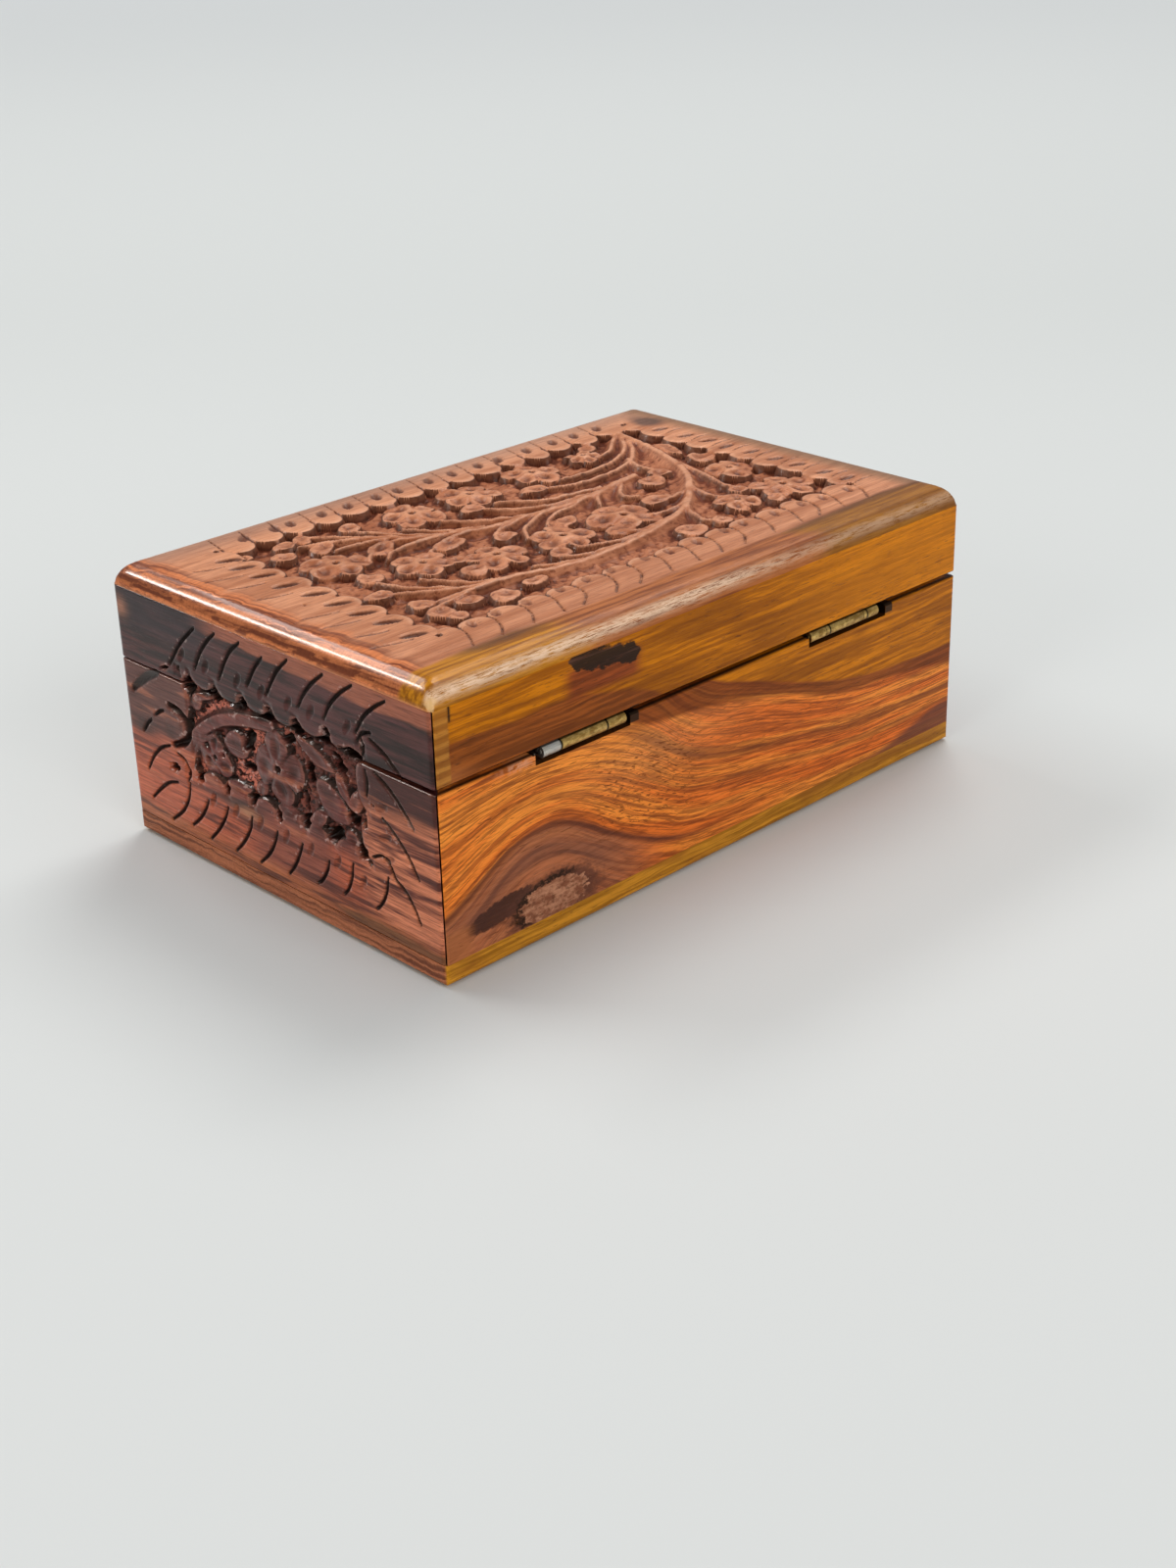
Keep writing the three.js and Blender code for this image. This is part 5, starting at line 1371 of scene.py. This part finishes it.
def rear_wood():
    material, tree, shader = new_material("rosewood_rear")
    x, y, z = position(tree)
    fibre, pores, _, height = grain(x, z, y)
    wobble = noise(x * 0.04, z * 0.15, y * 0.15, 4.0, 0.55) - 0.5
    straight = noise(x * 0.03, (z + wobble * 3) * 1.1, y * 0.6, 4.0, 0.62)
    cloud = noise(x * 0.03 + 7.0, z * 0.14, y * 0.14, 3.0, 0.55)
    speckle = noise(x * 0.7, z * 0.9, y, 4.0, 0.6)
    wall, golden = rear_wall_colour(x, y, z, wobble)
    wall, heart = knot_marks(x, z, wall, speckle)
    colour = blend(golden, wall, golden_colour(straight, cloud))
    colour = blend(z.ramp(*LID_LINE), colour, rear_rail_colour(x, z, wobble, straight, cloud))
    bottom = blend(straight.ramp(0.4, 0.62), (212, 144, 40), (168, 110, 26))
    bottom = blend(cloud.ramp(0.5, 0.62) * 0.5, bottom, (140, 78, 30))
    along_end = noise(y * 0.03, (z + wobble * 3) * 1.3, x * 0.5, 4.0, 0.62)
    end_brown = blend(along_end.ramp(0.42, 0.6), (188, 114, 78), (120, 66, 46))
    bottom = blend(x.math("ABSOLUTE").ramp(HALF_X - 0.5, HALF_X - 0.1), bottom, end_brown)
    colour = blend(z.ramp(FLOOR_BOARD + 0.1, FLOOR_BOARD - 0.1), colour, bottom)
    colour = grained(colour, fibre, pores, (124, 74, 42), (84, 42, 14), fibres=0.3, holes=0.75)
    zone = x.ramp(42, 34) * x.ramp(4, 12) * z.ramp(13, 18) * z.ramp(36, 32)
    dashes = noise((x + z * 0.4) * 0.42, z * 1.7 - x * 0.5, y, 2.0, 0.6).ramp(0.56, 0.62)
    colour = blend(dashes * zone * 0.75, colour, (104, 48, 18))
    bruise = x.bump_at(58.4, 4.5) * (z - 40.8 + wobble).bump_at(0, 1.1) * speckle.ramp(0.4, 0.55)
    colour = blend(bruise * 0.7, colour, (224, 160, 124))
    # The slots, the notch patches and the gap under the lid are painted near black as shade.
    colour = blend(shaded_hinge_gaps(x, y, z) * 0.92, colour, (22, 11, 8))
    rough = 0.36 + fibre * 0.14 + heart * 0.35
    finish_wood(shader, colour, height + speckle * heart * 5.0, rough, gloss=0.04, tint=(1.0, 0.6, 0.15))
    return material


# %% [markdown]
# ## Front wood and brass
# These need less: the front isn't seen in the photograph, and takes the colours of the other
# boards. The brass is pale and aged, scratched along its length, with a dark line in the joints
# between the knuckles. The outer end of one hinge is rubbed to a silver grey.

# %% Front wood and brass
def plain_wood(name, light, deep, dark):
    material, tree, shader = new_material(name)
    x, y, z = position(tree)
    fibre, pores, bands, height = grain(x, z, y)
    ribbon = noise(x * 0.012, z * 0.3, y * 0.3, 4.0, 0.6, 0.6)
    colour = blend(bands.ramp(0.4, 0.65), light, deep)
    colour = blend(ribbon.ramp(0.5, 0.66) * 0.6, colour, dark)
    colour = grained(colour, fibre, pores, (118, 70, 46), (64, 36, 24))
    # Dirt and painted shade in the carving's hollows, creases, walls and cuts, and a painted highlight on
    # its crests.
    colour, rough = worn_and_shaded(tree, colour, (142, 88, 64), (222, 156, 112), (56, 28, 20))
    finish_wood(shader, colour, height, rough + fibre * 0.12)
    return material


KNUCKLE_JOINT = 6.4


def aged_brass():
    material, tree, shader = new_material("aged_brass")
    x, y, z = position(tree)
    cloud = noise(x * 0.5, y * 0.8, z * 0.8, 4.0, 0.6)
    scratch = noise(x * 0.6, y * 9, z * 9, 2.0, 0.6)
    colour = blend(cloud.ramp(0.35, 0.65), (226, 188, 112), (160, 122, 62))
    silver = x.ramp(47.2, 47.6)
    colour = blend(silver * 0.8, colour, (206, 208, 206))
    colour = blend(scratch.ramp(0.6, 0.72) * 0.5, colour, (88, 72, 52))
    joint = ((x.math("ABSOLUTE") - SLOT_X).math("ABSOLUTE") - KNUCKLE_JOINT).bump_at(0, 0.28)
    colour = blend(joint, colour, (24, 16, 12))
    feed(shader.inputs["Base Color"], colour)
    shader.inputs["Metallic"].default_value = 1.0
    feed(shader.inputs["Roughness"], cloud * 0.35 + 0.2)
    emboss(shader, scratch, strength=0.25, depth=0.05)
    return material


TOP_WOOD, END_WOOD, REAR_WOOD, BRASS = top_wood(), end_wood(), rear_wood(), aged_brass()
FRONT_WALL_WOOD = plain_wood("rosewood_front_wall", (184, 112, 72), (150, 84, 50), (104, 58, 40))
FRONT_RAIL_WOOD = plain_wood("rosewood_front_rail", (178, 114, 40), (150, 88, 28), (120, 66, 30))


def wear(piece, material):
    piece.data.materials.clear()
    piece.data.materials.append(material)


def finish_of(node):
    """The material of a solid, which the carved piece in its place wears too."""
    own = {"lid_top_panel": TOP_WOOD, "base_front_wall": FRONT_WALL_WOOD, "lid_front_rail": FRONT_RAIL_WOOD}
    if node in brass_nodes:
        return BRASS
    return own.get(node, REAR_WOOD if node in plain_nodes else END_WOOD)


for node in nodes:
    wear(bpy.data.objects[node], finish_of(node))
for node, piece in carved_pieces.items():
    wear(piece, finish_of(node))
print("materials:", [m.name for m in bpy.data.materials])

# %% [markdown]
# ## Camera and studio
# The camera was solved from the box's corners in the photograph: its place, and the directions
# to its right, up and back. The room is pale, with a large soft lamp overhead and weaker ones at
# three sides. A small one, which only shows in reflections, draws the white line on the polished
# edge over the end.

# %% Camera and studio
CAMERA_PLACE = (0.3217, 0.3446, 0.2238)
CAMERA_AXES = ((-0.71177563, 0.70192482, -0.02601912), (-0.31891491, -0.28994220, 0.90234517),
               (0.62583443, 0.65056519, 0.43022808))
CAMERA_LENS = 51.448

camera = add_object("camera", bpy.data.cameras.new("camera"))
camera.data.lens = CAMERA_LENS
camera.data.sensor_width = 36
camera.data.clip_end = 50
camera.matrix_world = Matrix.Translation(CAMERA_PLACE) @ Matrix(CAMERA_AXES).transposed().to_4x4()
bpy.context.scene.camera = camera


def area_lamp(name, place, size, power, target=Vector((0, 0, 0.03))):
    lamp = add_object(name, bpy.data.lights.new(name, "AREA"))
    lamp.data.shape = "RECTANGLE"
    lamp.data.size, lamp.data.size_y = size
    lamp.data.energy = power
    lamp.location = place
    lamp.rotation_euler = (target - Vector(place)).to_track_quat("-Z", "Y").to_euler()
    return lamp


lamps = [
    area_lamp("overhead", (-0.8, -0.35, 1.35), (0.8, 0.8), 12.5),
    area_lamp("back", (0.25, -1.1, 1.15), (1.0, 0.3), 8),
    area_lamp("rear_side", (0.2, 1.5, 0.8), (1.1, 0.8), 10),
    area_lamp("end_side", (1.5, 0.2, 0.7), (0.6, 0.6), 5),
    area_lamp("glint", (0.56, -1.06, 0.84), (0.12, 0.42), 7.5),
]
lamps[-1].visible_diffuse = False
print("lamps:", {lamp.name: lamp.data.energy for lamp in lamps})

# %% [markdown]
# ## The room and the floor
# The room's own light is weak, but the camera sees it as a bright wall. Far from the box the floor
# glows a little for the camera too, so that no dark horizon shows.

# %% The room and the floor
ROOM_COLOUR = (0.95, 0.98, 1.0, 1)
ROOM_LIGHT, ROOM_SEEN, FLOOR_GLOW = 0.33, 0.41, 0.48
FLOOR_HALF = 4
FLOOR_DROP = 0.3


def camera_ray(tree):
    """1 where the camera looks straight at a point, and 0 in reflections and bounced light."""
    return Wire(tree, tree.nodes.new("ShaderNodeLightPath").outputs["Is Camera Ray"])


world = bpy.data.worlds.new("room")
bpy.context.scene.world = world
world.use_nodes = True
room = world.node_tree.nodes["Background"]
room.inputs["Color"].default_value = ROOM_COLOUR
feed(room.inputs["Strength"], camera_ray(world.node_tree) * ROOM_SEEN + ROOM_LIGHT)


def pale_floor():
    bm = bmesh.new()
    bmesh.ops.create_grid(bm, x_segments=1, y_segments=1, size=FLOOR_HALF)
    mesh = bpy.data.meshes.new("floor")
    bm.to_mesh(mesh)
    bm.free()
    piece = add_object("floor", mesh)
    piece.location.z = -FLOOR_DROP * MM
    material, tree, shader = new_material("pale_floor")
    x, y, z = position(tree)
    cloud = noise(x * 0.002, y * 0.002, z, 2.0)
    grey = blend(cloud, (216, 217, 215), (210, 212, 210))
    far = (x + y).ramp(0, -700)
    feed(shader.inputs["Base Color"], blend(far, grey, (202, 204, 202)))
    shader.inputs["Roughness"].default_value = 0.8
    shader.inputs["Specular IOR Level"].default_value = 0.1
    away = (x * x + y * y).math("SQRT")
    shader.inputs["Emission Color"].default_value = ROOM_COLOUR
    feed(shader.inputs["Emission Strength"], away.ramp(450, 2600) * camera_ray(tree) * FLOOR_GLOW)
    wear(piece, material)
    return piece


pale_floor()
bpy.context.scene.view_settings.view_transform = "Standard"
